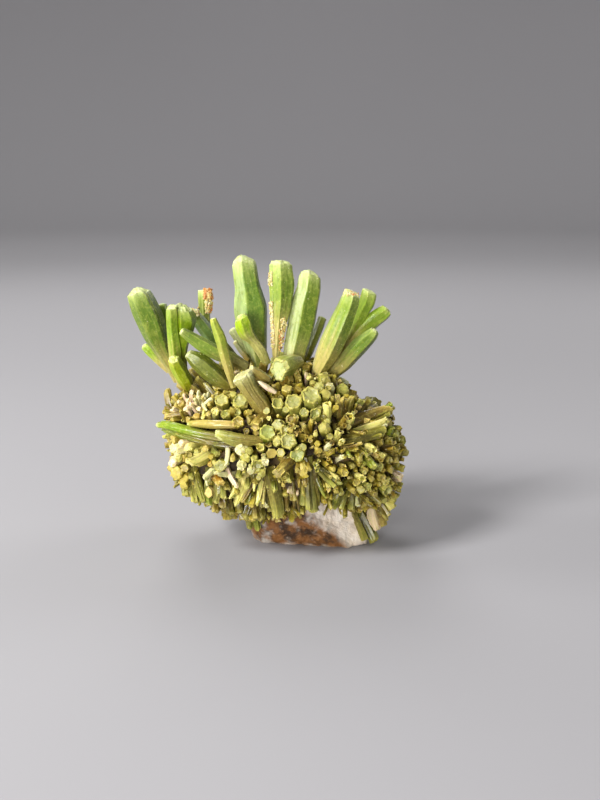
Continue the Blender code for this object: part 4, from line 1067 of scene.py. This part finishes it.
RIGHT_FACE = [
    Seen(390.5, 408.5, 11, SAND, "flat", (355, 422), 2.4), Seen(392.5, 404.5, 5, LIME, "worn", (366, 416), 2.6),
    Seen(388, 420, 9, CREAM, "flat", (357, 431), 2.2), Seen(384, 430, 12, GREY_GREEN, "flat", (352, 438), 2.0),
    Seen(390, 413.5, 5, GREY_GREEN, "worn", (364, 424), 2.3), Seen(386, 425, 5, FROST, "worn", (362, 435), 2.2), Seen(392, 427, 9, LIME, "worn", (384, 437), 2.0),
    Seen(397, 433, 8, BRIGHT, "worn", None, 1.6), Seen(405, 441, 11, BRIGHT, "hollow", None, 1.5),
    Seen(399, 449, 8, TAN, "worn", None, 1.5), Seen(407, 452, 7, OLIVE, "worn", None, 1.5),
    Seen(391, 440, 8, OLIVE, "worn", None, 1.6), Seen(375, 449.5, 8, CREAM, "deep", (366, 446), 2.5),
    Seen(383, 455.5, 5, CREAM, "deep", (379, 451), 2.3), Seen(338, 433, 7, CREAM, "hollow", None, 2.4),
    Seen(343, 441, 6, CREAM, "deep", None, 2.3), Seen(329, 446, 5, FROST, "worn", None, 2.4),
    Seen(365, 433.5, 4.5, SAND, "round", (350, 430), 2.2), Seen(362, 443, 4, SAND, "worn", (342, 446), 2.3),
    Seen(358, 449, 4, YELLOW, "worn", (344, 450), 2.2), Seen(350, 457, 5, BRIGHT, "round", (350, 449), 2.3),
    Seen(360, 460, 8, YELLOW, "round", (354, 451), 2.2), Seen(375, 468, 9, BRIGHT, "worn", (361, 452), 2.2),
    Seen(368, 456, 6, PALE, "worn", (360, 448), 2.2), Seen(344, 457, 5, FROST, "round", (338, 461), 2.3),
    Seen(316, 465, 6, PALE, "deep", None, 2.4), Seen(317, 470, 5.5, PALE, "deep", None, 2.3),
    Seen(342, 485, 9, PALE, "pointed", (321, 469), 2.2), Seen(338, 478, 5, CREAM, "worn", (325, 470), 2.3),
    Seen(345, 473, 8, YELLOW, "hollow", None, 2.2), Seen(334, 470, 5, YELLOW, "worn", (324, 464), 2.2),
    Seen(357, 483, 8, YELLOW, "hollow", None, 2.2), Seen(363, 479, 7, CREAM, "deep", None, 2.3),
    Seen(361, 490, 9, PALE, "worn", None, 2.0), Seen(368, 487, 8, PALE, "hollow", None, 2.1),
    Seen(372, 479, 8, YELLOW, "worn", None, 2.0), Seen(353, 491, 7, YELLOW, "worn", None, 1.9),
    Seen(334, 509, 12, BRIGHT, "pointed", (344, 489), 1.9), Seen(351, 509, 10, BRIGHT, "worn", (349, 494), 1.9),
    Seen(358, 506, 4, FROST, "flat", (358, 493), 2.1), Seen(366, 505, 8, TAN, "worn", (363, 492), 1.8),
    Seen(342, 494, 7, PALE, "worn", (338, 484), 1.8), Seen(329, 488, 6, OLIVE, "worn", (325, 478), 1.7),
    Seen(336, 492, 6, YELLOW, "worn", (334, 482), 1.7), Seen(388, 491, 13, GREY_GREEN, "hollow", None, 2.0),
    Seen(396, 500, 13, GREY_GREEN, "hollow", None, 1.9), Seen(401, 488, 11, PALE, "hollow", None, 1.8),
    Seen(393, 509, 9, CREAM, "hollow", None, 1.7), Seen(401, 479, 9, PINK, "worn", None, 1.5),
    Seen(385, 501, 8, PALE, "worn", None, 1.8), Seen(404, 469, 8, OLIVE, "worn", None, 1.5),
    Seen(375, 541, 13, GREEN, "worn", (357, 508), 1.6), Seen(346.5, 537, 6, BRIGHT, "pointed", (356, 510), 1.6),
    Seen(366, 536, 9, PALE, "worn", (357, 512), 1.5), Seen(362, 526, 6, BRIGHT, "worn", (360, 508), 1.9),
    Seen(371, 524, 5, PINK, "worn", (371, 506), 1.7), Seen(387, 519, 8, OLIVE, "worn", (378, 503), 1.7),
    Seen(381, 514, 7, OLIVE, "worn", (375, 500), 1.8), Seen(377, 530, 11, PINK, "round", (374, 517), 1.4),
    Seen(384, 526, 9, SAND, "worn", (379, 515), 1.5), Seen(373, 519, 7, TAN, "worn", (369, 504), 1.6),
    Seen(383, 478, 8, YELLOW, "hollow", None, 1.8), Seen(376, 495, 8, TAN, "hollow", None, 1.9),
    Seen(392, 470, 8, YELLOW, "worn", None, 1.7), Seen(390, 460, 7, OLIVE, "hollow", None, 1.7),
    Seen(381, 467, 7, PALE, "hollow", None, 1.8), Seen(387, 483, 7, CREAM, "deep", None, 1.8),
    Seen(366, 470, 6, YELLOW, "worn", None, 1.9), Seen(353, 466, 6, OLIVE, "worn", None, 1.9),
    Seen(398, 460, 7, TAN, "worn", None, 1.5), Seen(383, 442, 7, TAN, "worn", (372, 442), 1.7),
    Seen(396, 442, 5, TAN, "flat", (380, 447), 1.8), Seen(376, 404, 9, OLIVE, "worn", (366, 412), 0.9),
    Seen(369, 400, 8, OLIVE, "worn", (362, 410), 0.9), Seen(362, 400, 8, GREY_GREEN, "worn", (357, 408), 1.2),
]
ROOT_SINK = 1.2
REST_LENGTH = 3.2
SWAY = 0.07


def crust_skin(tint):
    """Tan to dark brown at the root, the dark brown partly painted shade of the gaps between crystals, its tint along
    the body, and a paler tip. Pale crystals are pale all along.
    """
    if tint in (PINK, FROST, CREAM):
        return Skin(blend(tint, paint(120, 92, 44), 0.4), blend(tint, SAND, 0.15), tint, 0.45)
    body = blend(tint, paint(104, 90, 24), 0.52)
    tip = blend(blend(tint, CREAM, 0.1), paint(124, 114, 40), 0.45)
    # The dark brown root is partly painted shade of the gaps between crystals.
    return Skin(blend(tint, paint(70, 48, 10), 0.78), body, tip, 0.72)


def crust_crystal(row, seed):
    """The crystal of a row: it stands out of the lump behind its pixel."""
    tip = on_lump(row.u, row.v, row.high)
    if row.root:
        foot = on_lump(*row.root, 0.2)
        foot -= (tip - foot).normalized() * ROOT_SINK
    else:
        foot = tip - Vector(growth_way(np.array([tip]))[0]) * (REST_LENGTH + row.high / 2)
    dice = random.Random(seed)
    half = row.wide * pixel_size(tip) / 2
    taper = 0.45 if row.end == "pointed" else 1.0
    around = dice.uniform(0, 2 * math.pi)
    partners = []
    for k in range(dice.choice((1, 2, 2, 3))):
        size = dice.uniform(0.5, 0.8)
        out, spot = size * dice.uniform(0.5, 0.82), around + k * 2.4
        partners.append(Hexagon(out * math.cos(spot), out * math.sin(spot), size, dice.uniform(0.1, 0.7), dice.uniform(-12, 12)))
    crumble = 0.2 if row.tint in (PINK, FROST, CREAM) else 0.14
    if row.root:
        halves = (half * 0.8, half, half * 0.96, half * 0.8 * taper)
    else:
        halves = (half * 0.75, half * 0.88, half, half * taper)
    sway = Vector([dice.uniform(-1, 1) for _ in range(3)]) * (tip - foot).length * SWAY
    middles = [foot.lerp(tip, part) + sway * (4 * part * (1 - part)) for part in (0, 1 / 3, 2 / 3, 1)]
    tilt = 0.12 if row.end in ("sunken", "hollow", "deep") else 0.4
    slant = (dice.uniform(-tilt, tilt), dice.uniform(-tilt, tilt), 0)
    tint = row.tint
    if tint not in (PINK, FROST, CREAM):
        tint = blend(tint, dice.choice((OLIVE, YELLOW, TAN, tint)), dice.uniform(0, 0.4))
    return Crystal(
        middles, halves, dice.uniform(0, 60), crust_skin(tint), row.end, tuple(partners), slant,
        ribs=0.06, crumble=crumble, columns=6 if row.wide > 11 else 4, rings=13 if row.wide > 11 else 11, seed=seed,
    )


def companions(crystal, tint, seed):
    """Smaller crystals that grow beside one, a little lower and a little apart."""
    dice = random.Random(seed * 31)
    foot, tip = Vector(crystal.middles[0]), Vector(crystal.middles[-1])
    right, away, up = (Vector(v) for v in crystal_axes(np.array(foot), np.array(tip)))
    half = max(crystal.halves)
    made = []
    for k in range(dice.choice((0, 1, 1, 2))):
        spot = dice.uniform(0, 2 * math.pi)
        aside = right * math.cos(spot) + away * math.sin(spot)
        small = half * dice.uniform(0.35, 0.65)
        gap = (half + small) * dice.uniform(0.75, 1.0)
        end = tip + aside * gap * dice.uniform(1.0, 1.35) - up * dice.uniform(0.15, 0.9)
        start = foot + aside * gap * 0.6
        skin = crust_skin(blend(tint, dice.choice((OLIVE, YELLOW, TAN, PALE, SAND)), 0.45))
        halves = (small * 0.8, small * 0.9, small)
        middles = [start, start.lerp(end, 0.5), end]
        kind = dice.choice(("flat", "worn", "hollow", "sunken"))
        made.append(Crystal(middles, halves, dice.uniform(0, 60), skin, kind, crumble=0.06, columns=2, rings=7, seed=seed + 500 + k))
    return made


CROWN_HEXAGON = Crystal(
    [at_depth(296, 363, -1.4), at_depth(287, 366.5, -3.0), at_depth(278, 370.5, -4.6)],
    (1.1, 1.3, 1.3), 5, Skin(paint(160, 150, 84), paint(158, 166, 80), paint(188, 196, 136), 0.4), "sunken",
    (Hexagon(0.34, 0.24, 0.7, 0.5), Hexagon(-0.3, 0.3, 0.68, 0.25), Hexagon(0.1, -0.36, 0.66, 0.12)),
    (0.25, -0.2, 0), crumble=0.15, columns=12, rings=30,
)
REAR_BUDS = [
    ((-5.0, 8.6, 19.6), 1.3, OLIVE, "sunken"), ((1.6, 9.2, 19.8), 1.4, PALE, "flat"),
    ((8.6, 8.6, 16.6), 1.3, GREY_GREEN, "sunken"), ((-9.4, 5.8, 18.6), 1.15, TAN, "hollow"),
    ((12.8, 5.6, 15.2), 1.15, OLIVE, "flat"),
]
pool = new_pool()
placed = [CROWN_HEXAGON]
grow(pool, CROWN_HEXAGON)
for name, rows in (("crown", CROWN + SHOULDER), ("front", FRONT + LEFT_FACE), ("right", RIGHT_FACE)):
    for row in rows:
        crystal = crust_crystal(row, len(placed))
        placed.append(crystal)
        grow(pool, crystal)
    show(finish_pool(f"crust_crystals_{name}", pool, SMALL_PRISM), "crust_green", "crust")
    pool = new_pool()
for i, (tip, half, tint, end) in enumerate(REAR_BUDS):
    tip = Vector(tip) + SHIFT
    foot = tip - Vector(growth_way(np.array([tip]))[0]) * 4.5
    skin = Skin(blend(tint, BROWN, 0.6), tint, blend(tint, CREAM, 0.3), 0.5)
    side = (Hexagon(0.3, 0.2, 0.74, 0.5), Hexagon(-0.25, 0.3, 0.7, 0.9))
    bud = Crystal([foot, foot.lerp(tip, 0.5), tip], (half * 0.8, half, half), i * 17, skin, end, side,
                  (0.2, -0.25, 0), ribs=0.06, crumble=0.16, columns=6, rings=14, seed=i + 700)
    placed.append(bud)
    grow(pool, bud)
    for crystal in companions(bud, tint, i + 40) + companions(bud, tint, i + 60):
        grow(pool, crystal)
show(finish_pool("crust_crystals_rear", pool, SMALL_PRISM), "crust_green", "crust")

pool = new_pool()
for seed, row in enumerate(CROWN + FRONT + RIGHT_FACE, start=1):
    for crystal in companions(crust_crystal(row, seed), row.tint, seed):
        tip = np.array([tuple(crystal.middles[-1])])
        if inside_edge(tip)[0] and not behind_blades(tip, 3.0)[0]:
            grow(pool, crystal)
show(finish_pool("crust_companions", pool, SMALL_PRISM), "crust_green", "crust")
print("placed crust crystals:", len(placed))

# %% [markdown]
# The rock foot is a block between broken faces. It is made like the lump: every point of
# a ball is pushed out along its direction until it meets the nearest broken face, and then
# moved a little by noise, so the faces stay but their surface is sugary.

# %% Balls pushed into shape
def ball_ways(steps):
    """Unit directions and faces of a ball of small triangles."""
    ball = bmesh.new()
    bmesh.ops.create_icosphere(ball, subdivisions=steps, radius=1.0)
    ways = np.array([vert.co.normalized() for vert in ball.verts])
    faces = [[vert.index for vert in face.verts] for face in ball.faces]
    ball.free()
    return ways, faces


def rough_by(points, ways, size, height):
    """Moves points out and in by noise of a given size, both in millimetres."""
    lift = [noise.fractal(Vector(p) / size, 0.7, 2.1, 4) for p in points]
    return points + ways * (np.array(lift) * height)[:, None]


def mesh_object(name, points, faces, finish, values=None):
    """An object in metres from points in millimetres, with values at its points."""
    mesh = bpy.data.meshes.new(name)
    mesh.from_pydata((points * MM).tolist(), [], faces)
    for key, data in (values or {}).items():
        vectors = data.ndim == 2
        layer = mesh.attributes.new(key, "FLOAT_VECTOR" if vectors else "FLOAT", "POINT")
        layer.data.foreach_set("vector" if vectors else "value", data.astype(np.float32).ravel())
    mesh.materials.append(finish)
    mesh.shade_smooth()
    made = bpy.data.objects.new(name, mesh)
    bpy.context.scene.collection.objects.link(made)
    return made


Break = namedtuple("Break", "on out stain", defaults=(0.3,))
BREAKS = [
    Break((4.0, 0.0, 0.0), (0.0, 0.0, -1.0)),
    Break((4.0, 0.0, 6.8), (0.1, -0.1, 1.0)),
    Break((3.2, -6.0, 6.2), (0.48, -0.8, 0.28), 0.0),
    Break((3.2, -6.0, 6.2), (-0.15, -0.8, -0.345), 1.3),
    Break((12.0, -1.0, 1.0), (1.0, -0.15, -0.1), 0.1),
    Break((4.0, 6.8, 2.0), (0.1, 1.0, -0.25), 0.6),
    Break((11.0, 4.6, 1.0), (0.7, 0.7, 0.1)),
    Break((11.3, 1.5, 0.8), (0.85, 0.2, -0.5)),
    Break((9.0, 5.5, 0.8), (0.35, 0.8, -0.6)),
    Break((1.5, 6.0, 1.0), (-0.2, 0.85, -0.5), 0.8),
    Break((11.2, -2.2, 3.0), (0.9, -0.5, 0.4), 0.1),
    Break((-1.8, 1.0, 1.0), (-1.0, 0.05, -0.25), 0.9),
    Break((-1.4, -2.4, 1.0), (-0.7, -0.65, -0.3), 1.0),
    Break((-0.8, 5.4, 1.0), (-0.6, 0.75, 0.0), 0.8),
]
ROCK_CENTRE = np.array((5.0, 0.0, 3.0)) + np.array(SHIFT)
STAIN_BLUR = 0.35
STAIN_WANDER = 0.5


def rock_surface(ways):
    """Where each direction from the rock's middle meets its nearest broken face, and how stained that is."""
    reaches = []
    for face in BREAKS:
        out = np.array(face.out) / np.linalg.norm(face.out)
        room = (np.array(face.on) + np.array(SHIFT) - ROCK_CENTRE) @ out
        facing = ways @ out
        reaches.append(np.where(facing > 1e-6, room / np.maximum(facing, 1e-6), np.inf))
    radius = np.min(reaches, axis=0)
    wander = np.array([noise.fractal(Vector(way) * 3.0, 0.8, 2.1, 4) for way in ways])
    share = np.exp(-(np.array(reaches) - radius) / STAIN_BLUR)
    stain = (share * np.array([face.stain for face in BREAKS])[:, None]).sum(axis=0) / share.sum(axis=0)
    stain = np.clip(stain + STAIN_WANDER * wander, 0, 1)
    return ROCK_CENTRE + ways * radius[:, None], stain


ways, faces = ball_ways(6)
smooth_rock, stain = rock_surface(ways)
points = rough_by(smooth_rock, ways, 1.2, 0.2)
points[:, 2] = np.maximum(points[:, 2], 0.0)
show(mesh_object("matrix_rock", points, faces, ROCK, {"stain": stain}), "pale_rock", "matrix")

# %% [markdown]
# The crust is made of many small sprays. Each one has a middle under the surface, and its
# crystals point away from that middle, so the ground rises in a low dome over every spray
# and falls into a dark groove between two of them. Where the lump would reach past the
# edge of the crust in the picture, or into one of the blades, the ground is pressed in.

# %% The ground of the crust
SPRAY_GAP = 3.3
SPRAY_TRIES = 4000
DOME_HEIGHT = 0.7
DOME_REACH = 2.3
BLADE_FURROW = 2.2
CRUST_ROOM = 1.5
CROWN_MIDDLE, CROWN_REACH = 275, 58
PRESS_DEPTHS = (0.3, 0.6, 0.9, 1.2, 1.5, 1.8, 2.1, 2.4)


def spread_sprays():
    """Places on the lump that keep a least distance from each other."""
    dice = random.Random(4)
    kept = []
    for _ in range(SPRAY_TRIES):
        way = np.array([[dice.gauss(0, 1) for _ in range(3)]])
        way = unit(way)
        place = np.array(LUMP_CENTRE) + way[0] * lump_radius(way)[0]
        if all(np.linalg.norm(place - other) > SPRAY_GAP for other in kept):
            kept.append(place)
    return np.array(kept)


sprays = spread_sprays()
ways, faces = ball_ways(6)
bare_lump = np.array(LUMP_CENTRE) + ways * lump_radius(ways)[:, None]
gaps = np.linalg.norm(bare_lump[:, None, :] - sprays[None, :, :], axis=2)
nearest = gaps.argmin(axis=1)
dome = DOME_HEIGHT * (0.55 - (gaps.min(axis=1) / DOME_REACH) ** 2).clip(-1.0)
furrow = BLADE_FURROW * (behind_blades(bare_lump, 1.0) & (ways[:, 1] < 0.15))
press = np.zeros(len(ways))
at_sides = np.abs(picture_of(bare_lump)[0] - CROWN_MIDDLE) > CROWN_REACH
for depth in PRESS_DEPTHS:
    outside = at_sides & ~inside_edge(bare_lump + ways * (CRUST_ROOM - press)[:, None])
    press = np.where(outside, depth, press)
lump_points = rough_by(bare_lump + ways * (dome - furrow - press)[:, None], ways, 1.0, 0.16)
lump_points[:, 2] = np.maximum(lump_points[:, 2], 0.6)
show(mesh_object("crust_ground", lump_points, faces, GROUND), "crust_green", "crust")
print("sprays in the crust:", len(sprays))

# %% [markdown]
# Between the placed crystals the crust is full of smaller ones, and its back and underside
# are covered with them too. Geometry Nodes scatter them. A few shapes with few faces each
# are grown by the same function as the large prisms. The points are spread over the lump
# with a least distance between them, turned to the way of growth, and each takes one of
# the shapes.

# %% Shapes to scatter
def shape_collection(name, crystals):
    """A collection that no view layer shows, with one low crystal for each shape."""
    made = bpy.data.collections.new(name)
    for i, crystal in enumerate(crystals):
        pool = new_pool()
        grow(pool, crystal)
        piece = finish_pool(f"{name}_{i:02d}", pool, SCATTERED)
        bpy.context.scene.collection.objects.unlink(piece)
        made.objects.link(piece)
    return made


def low(widths, end, length, seed, *partners):
    """A crystal of few faces that stands on its own origin."""
    foot, tip = Vector((0, 0, -0.8)), Vector((0, 0, length))
    halves = [width / 2 for width in widths]
    return Crystal(
        [foot, foot.lerp(tip, 0.5), tip], halves, seed * 13, Skin(TAN, GREEN, PALE), end, partners,
        (0.1, 0.06, 0), ribs=0.1, crumble=0.16, columns=1, rings=4, seed=seed,
    )


STUBS = shape_collection("stub", [
    low((0.85, 1.0, 1.05), "plain", 1.9, 1),
    low((0.7, 0.9, 1.15), "cup", 1.7, 2),
    low((0.8, 0.9, 0.85), "plain", 2.1, 3),
    low((0.6, 0.75, 0.8), "cup", 2.1, 4),
    low((0.95, 1.1, 1.0), "plain", 1.8, 5),
    low((0.6, 0.9, 1.2), "cup", 1.5, 6),
    low((0.7, 0.75, 0.6), "tip", 2.4, 7),
])
NEEDLES = shape_collection("needle", [
    low((0.4, 0.45, 0.5), "cup", 2.1, 11),
    low((0.35, 0.4, 0.35), "plain", 2.4, 12),
    low((0.4, 0.5, 0.55), "cup", 1.8, 13),
    low((0.35, 0.4, 0.3), "tip", 2.5, 14),
    low((0.5, 0.6, 0.55), "plain", 1.7, 15),
])


def crumb(seed):
    """A broken grain: the hull of a few points."""
    dice = random.Random(seed)
    grain = bmesh.new()
    for _ in range(22):
        way = Vector([dice.gauss(0, 1) for _ in range(3)]).normalized()
        grain.verts.new(way * dice.uniform(0.44, 0.54) * MM)
    hull = bmesh.ops.convex_hull(grain, input=grain.verts)
    bmesh.ops.delete(grain, geom=[v for v in hull["geom_interior"] if isinstance(v, bmesh.types.BMVert)], context="VERTS")
    mesh = bpy.data.meshes.new(f"crumb_{seed:02d}")
    grain.to_mesh(mesh)
    grain.free()
    return bpy.data.objects.new(mesh.name, mesh)


CRUMBS = bpy.data.collections.new("crumb")
for seed in range(6):
    CRUMBS.objects.link(crumb(seed))

# %% The scattering tree
def live(sockets, name):
    """The socket of that name that the node's settings leave in use."""
    return next(s for s in sockets if s.name == name and s.enabled)


def scatter_tree(name, spread_points):
    """Puts shapes over a mesh that carries where and grow at its points, or on every point of it."""
    tree = bpy.data.node_groups.new(name, "GeometryNodeTree")
    face = tree.interface
    face.new_socket("Geometry", in_out="INPUT", socket_type="NodeSocketGeometry")
    face.new_socket("Shapes", in_out="INPUT", socket_type="NodeSocketCollection")
    face.new_socket("Finish", in_out="INPUT", socket_type="NodeSocketMaterial")
    for key in ("Spacing", "Smallest", "Largest", "Lean", "Drift", "Sink"):
        face.new_socket(key, in_out="INPUT", socket_type="NodeSocketFloat")
    face.new_socket("Seed", in_out="INPUT", socket_type="NodeSocketInt")
    face.new_socket("Geometry", in_out="OUTPUT", socket_type="NodeSocketGeometry")
    given = add(tree, "NodeGroupInput").outputs

    def chance(lowest, highest, offset, kind="FLOAT"):
        node = add(tree, "FunctionNodeRandomValue", data_type=kind)
        join(tree, lowest, live(node.inputs, "Min"))
        join(tree, highest, live(node.inputs, "Max"))
        join(tree, maths(tree, "ADD", given["Seed"], float(offset)), live(node.inputs, "Seed"))
        return live(node.outputs, "Value")

    def named(key, kind):
        return live(add(tree, "GeometryNodeInputNamedAttribute", {"Name": key}, data_type=kind).outputs, "Attribute")

    def vector(how, inputs):
        return add(tree, "ShaderNodeVectorMath", inputs, operation=how).outputs[0]

    points = given["Geometry"]
    if spread_points:
        spread = add(tree, "GeometryNodeDistributePointsOnFaces", {"Mesh": points}, distribute_method="POISSON")
        join(tree, given["Spacing"], live(spread.inputs, "Distance Min"))
        join(tree, 6.0e6, live(spread.inputs, "Density Max"))
        join(tree, named("where", "FLOAT"), live(spread.inputs, "Density Factor"))
        join(tree, given["Seed"], live(spread.inputs, "Seed"))
        points = spread.outputs["Points"]
    field = add(tree, "ShaderNodeTexNoise", {"Scale": 330.0})
    middle = vector("SUBTRACT", {0: field.outputs["Color"], 1: (0.5, 0.5, 0.5)})
    drift = vector("SCALE", {0: middle, "Scale": given["Drift"]})
    chaos = chance((-1.0, -1.0, -1.0), (1.0, 1.0, 1.0), 1, "FLOAT_VECTOR")
    lean = vector("SCALE", {0: chaos, "Scale": given["Lean"]})
    way = vector("ADD", {0: vector("ADD", {0: named("grow", "FLOAT_VECTOR"), 1: drift}), 1: lean})
    aim = add(tree, "FunctionNodeAlignRotationToVector", {"Vector": way}, axis="Z")
    spin = add(tree, "FunctionNodeAxisAngleToRotation", {"Axis": (0.0, 0.0, 1.0), "Angle": chance(0.0, 2 * math.pi, 2)})
    turn = add(tree, "FunctionNodeRotateRotation", {0: aim.outputs[0], 1: spin.outputs[0]}, rotation_space="LOCAL")
    shapes = add(
        tree, "GeometryNodeCollectionInfo",
        {"Collection": given["Shapes"], "Separate Children": True, "Reset Children": True},
    )
    place = add(tree, "GeometryNodeInstanceOnPoints", {
        "Points": points, "Instance": shapes.outputs[0], "Pick Instance": True,
        "Instance Index": chance(0, 40, 3, "INT"), "Rotation": turn.outputs[0],
        "Scale": maths(tree, "MULTIPLY", chance(given["Smallest"], given["Largest"], 4), named("room", "FLOAT")),
    })
    depth = add(tree, "ShaderNodeCombineXYZ", {"Z": chance(given["Sink"], 0.0, 6)})
    sunk = add(tree, "GeometryNodeTranslateInstances", {"Instances": place.outputs[0], "Translation": depth.outputs[0]})
    tone = add(tree, "GeometryNodeStoreNamedAttribute", {"Geometry": sunk.outputs[0], "Name": "tone"}, domain="INSTANCE")
    join(tree, chance(0.0, 1.0, 5), live(tone.inputs, "Value"))
    real = add(tree, "GeometryNodeRealizeInstances", {"Geometry": tone.outputs[0]})
    coat = add(tree, "GeometryNodeSetMaterial", {"Geometry": real.outputs[0], "Material": given["Finish"]})
    add(tree, "NodeGroupOutput", {0: coat.outputs[0]})
    return tree


SCATTER = scatter_tree("scatter_crystals", True)
SPRINKLE = scatter_tree("sprinkle_crumbs", False)


def run_tree(name, tree, base, **inputs):
    """Runs a scattering tree on a copy of a mesh and returns a plain mesh object."""
    work = bpy.data.objects.new(name + "_work", base.copy())
    bpy.context.scene.collection.objects.link(work)
    modifier = work.modifiers.new("scatter", "NODES")
    modifier.node_group = tree
    ids = {item.name: item.identifier for item in tree.interface.items_tree if item.in_out == "INPUT"}
    for key, value in inputs.items():
        modifier[ids[key]] = value
    graph = bpy.context.evaluated_depsgraph_get()
    mesh = bpy.data.meshes.new_from_object(work.evaluated_get(graph))
    mesh.name = name
    bpy.data.objects.remove(work)
    made = bpy.data.objects.new(name, mesh)
    bpy.context.scene.collection.objects.link(made)
    return made


print("scattering tree:", len(SCATTER.nodes), "nodes")

# %% Scattering over the crust
SPRAY_DEPTH = 2.4
SPRAY_SHARE = 0.6
ROOMS = (0.6, 1.0, 1.4, 1.8, 2.2)


def near_crystals(points, crystals, share):
    """Which points are inside this share of a crystal's half width."""
    near = np.zeros(len(points), bool)
    for crystal in crystals:
        foot, tip = np.array(crystal.middles[0]), np.array(crystal.middles[-1])
        line = tip - foot
        part = np.clip((points - foot) @ line / (line @ line), 0, 1)
        gap = np.linalg.norm(points - foot - part[:, None] * line, axis=1)
        near |= gap < max(crystal.halves) * share
    return near


seen_u, seen_v = picture_of(lump_points)
front = (ways[:, 1] < 0.15).astype(float)


def patch(u, v, wide, tall):
    """How much each point of the front lies in an oval of the picture."""
    far = ((seen_u - u) / wide) ** 2 + ((seen_v - v) / tall) ** 2
    return np.clip(1.6 - far, 0, 1) * front


spray_ways = unit(lump_points - (sprays[nearest] - growth_way(sprays)[nearest] * SPRAY_DEPTH))
grow_ways = unit(spray_ways * SPRAY_SHARE + growth_way(lump_points) * (1 - SPRAY_SHARE))
standing = [crystal for _, crystals in STANDING.values() for crystal in crystals]
free = ~near_crystals(lump_points, placed + standing, 1.05)
clear = (lump_points[:, 2] > 2.4) & ((np.linalg.norm(lump_points[:, :2] - ROCK_CENTRE[:2], axis=1) > 6.0) | (lump_points[:, 2] > 7))
open_ground = (free & clear).astype(float)
under_blades = (front > 0) & behind_blades(lump_points + grow_ways, 2.0)
room = np.full(len(lump_points), 0.3)
for length in ROOMS:
    fits = inside_edge(lump_points + grow_ways * length)
    room = np.where(fits & ~under_blades, length / ROOMS[-1], room)
needle_zone = np.clip(patch(330, 440, 34, 30) + patch(356, 474, 46, 34), 0, 1)
shoulder_zone = patch(196, 402, 20, 14)
GAPS = ((219, 453, 20, 7), (233, 467, 8, 13), (277, 453, 12, 8), (241, 486, 4, 13), (266, 491, 5, 10), (196, 484, 5, 14), (211, 485, 4, 14))
gap_zone = np.clip(sum(patch(*oval) for oval in GAPS), 0, 1)
blade_zone = np.clip(patch(203, 484, 32, 26) + patch(262, 492, 34, 26) + patch(308, 488, 18, 24), 0, 1)


def scatter(name, where, **inputs):
    """Scatters shapes where a value at the lump's points says so."""
    base = mesh_object(name + "_base", lump_points, faces, GROUND, {"grow": grow_ways, "where": where, "room": room})
    made = run_tree(name, SCATTER, base.data, Finish=SCATTERED, **inputs)
    bpy.data.objects.remove(base)
    return show(made, "crust_green", "crust")


scatter("crust_stubs", open_ground * (1 - 0.9 * needle_zone) * (1 - 0.9 * blade_zone) * (1 - 0.93 * gap_zone) * (1 - 0.6 * shoulder_zone), Shapes=STUBS,
        Spacing=0.00062, Smallest=0.45, Largest=1.2, Lean=0.5, Drift=1.2, Sink=-0.0013, Seed=5)
scatter("crust_needles", open_ground * np.clip(needle_zone + 1.25 - room, 0, 1) * (1 - 0.9 * gap_zone), Shapes=NEEDLES,
        Spacing=0.00038, Smallest=0.5, Largest=1.2, Lean=0.6, Drift=1.4, Sink=-0.0009, Seed=9)

# %% [markdown]
# Grains of rusty and cream crust cling to some of the standing prisms. They are dropped on
# a prism along rays through a patch of the picture, so they sit where they are seen.

# %% Crumbs on the prisms
Patch = namedtuple("Patch", "node box count smallest largest finish lift", defaults=(0.0,))
PATCHES = [
    Patch("left_rear_spray", (204, 289.5, 213, 299), 190, 0.2, 0.42, RUSTY, 0.15),
    Patch("left_rear_spray", (205.5, 300, 214, 313), 190, 0.2, 0.42, CREAMY, 0.15),
    Patch("left_rear_spray", (206, 304, 214, 312), 70, 0.2, 0.4, RUSTY, 0.25),
    Patch("left_rear_spray", (188, 307, 199, 316), 120, 0.16, 0.36, CREAMY, 0.1),
    Patch("tall_prism_middle", (267, 272, 272.5, 286), 110, 0.12, 0.26, CREAMY, 0.1),
    Patch("tall_prism_middle", (268, 302, 273, 324), 260, 0.12, 0.28, CREAMY, 0.1),
    Patch("tall_prism_middle", (268, 324, 274, 350), 380, 0.12, 0.3, CREAMY, 0.12),
    Patch("tall_prism_middle", (281, 318, 286, 350), 200, 0.14, 0.32, CREAMY, 0.15),
    Patch("tall_prism_middle", (279, 330, 285, 352), 60, 0.14, 0.28, RUSTY, 0.1),
    Patch("right_spray", (343, 289, 361, 296), 120, 0.1, 0.26, CREAMY),
    Patch("right_spray", (352, 290, 361, 295), 16, 0.12, 0.24, RUSTY),
]


def crumb_places(patch, seed):
    """Points on a prism behind random pixels of a patch, and the way out of its surface."""
    dice = random.Random(seed)
    mesh = pieces[patch.node].data
    tree = BVHTree.FromPolygons([v.co for v in mesh.vertices], [p.vertices for p in mesh.polygons])
    places, outs = [], []
    for _ in range(patch.count):
        u, v = dice.uniform(patch.box[0], patch.box[2]), dice.uniform(patch.box[1], patch.box[3])
        spot, out, _, _ = tree.ray_cast(EYE * MM, ray(u, v).normalized())
        if spot:
            places.append(spot / MM + out * dice.uniform(0, patch.lift))
            outs.append(out)
    return np.array(places), np.array(outs)


for seed, spot in enumerate(PATCHES):
    places, outs = crumb_places(spot, seed)
    base = mesh_object(f"crumb_base_{seed}", places, [], spot.finish, {"grow": outs, "room": np.ones(len(places))})
    made = run_tree(
        f"{spot.node}_crumbs_{seed}", SPRINKLE, base.data, Shapes=CRUMBS, Finish=spot.finish,
        Smallest=spot.smallest, Largest=spot.largest, Lean=1.0, Drift=0.0, Sink=0.0, Seed=seed,
    )
    bpy.data.objects.remove(base)
    show(made, "prism_tan", spot.node)
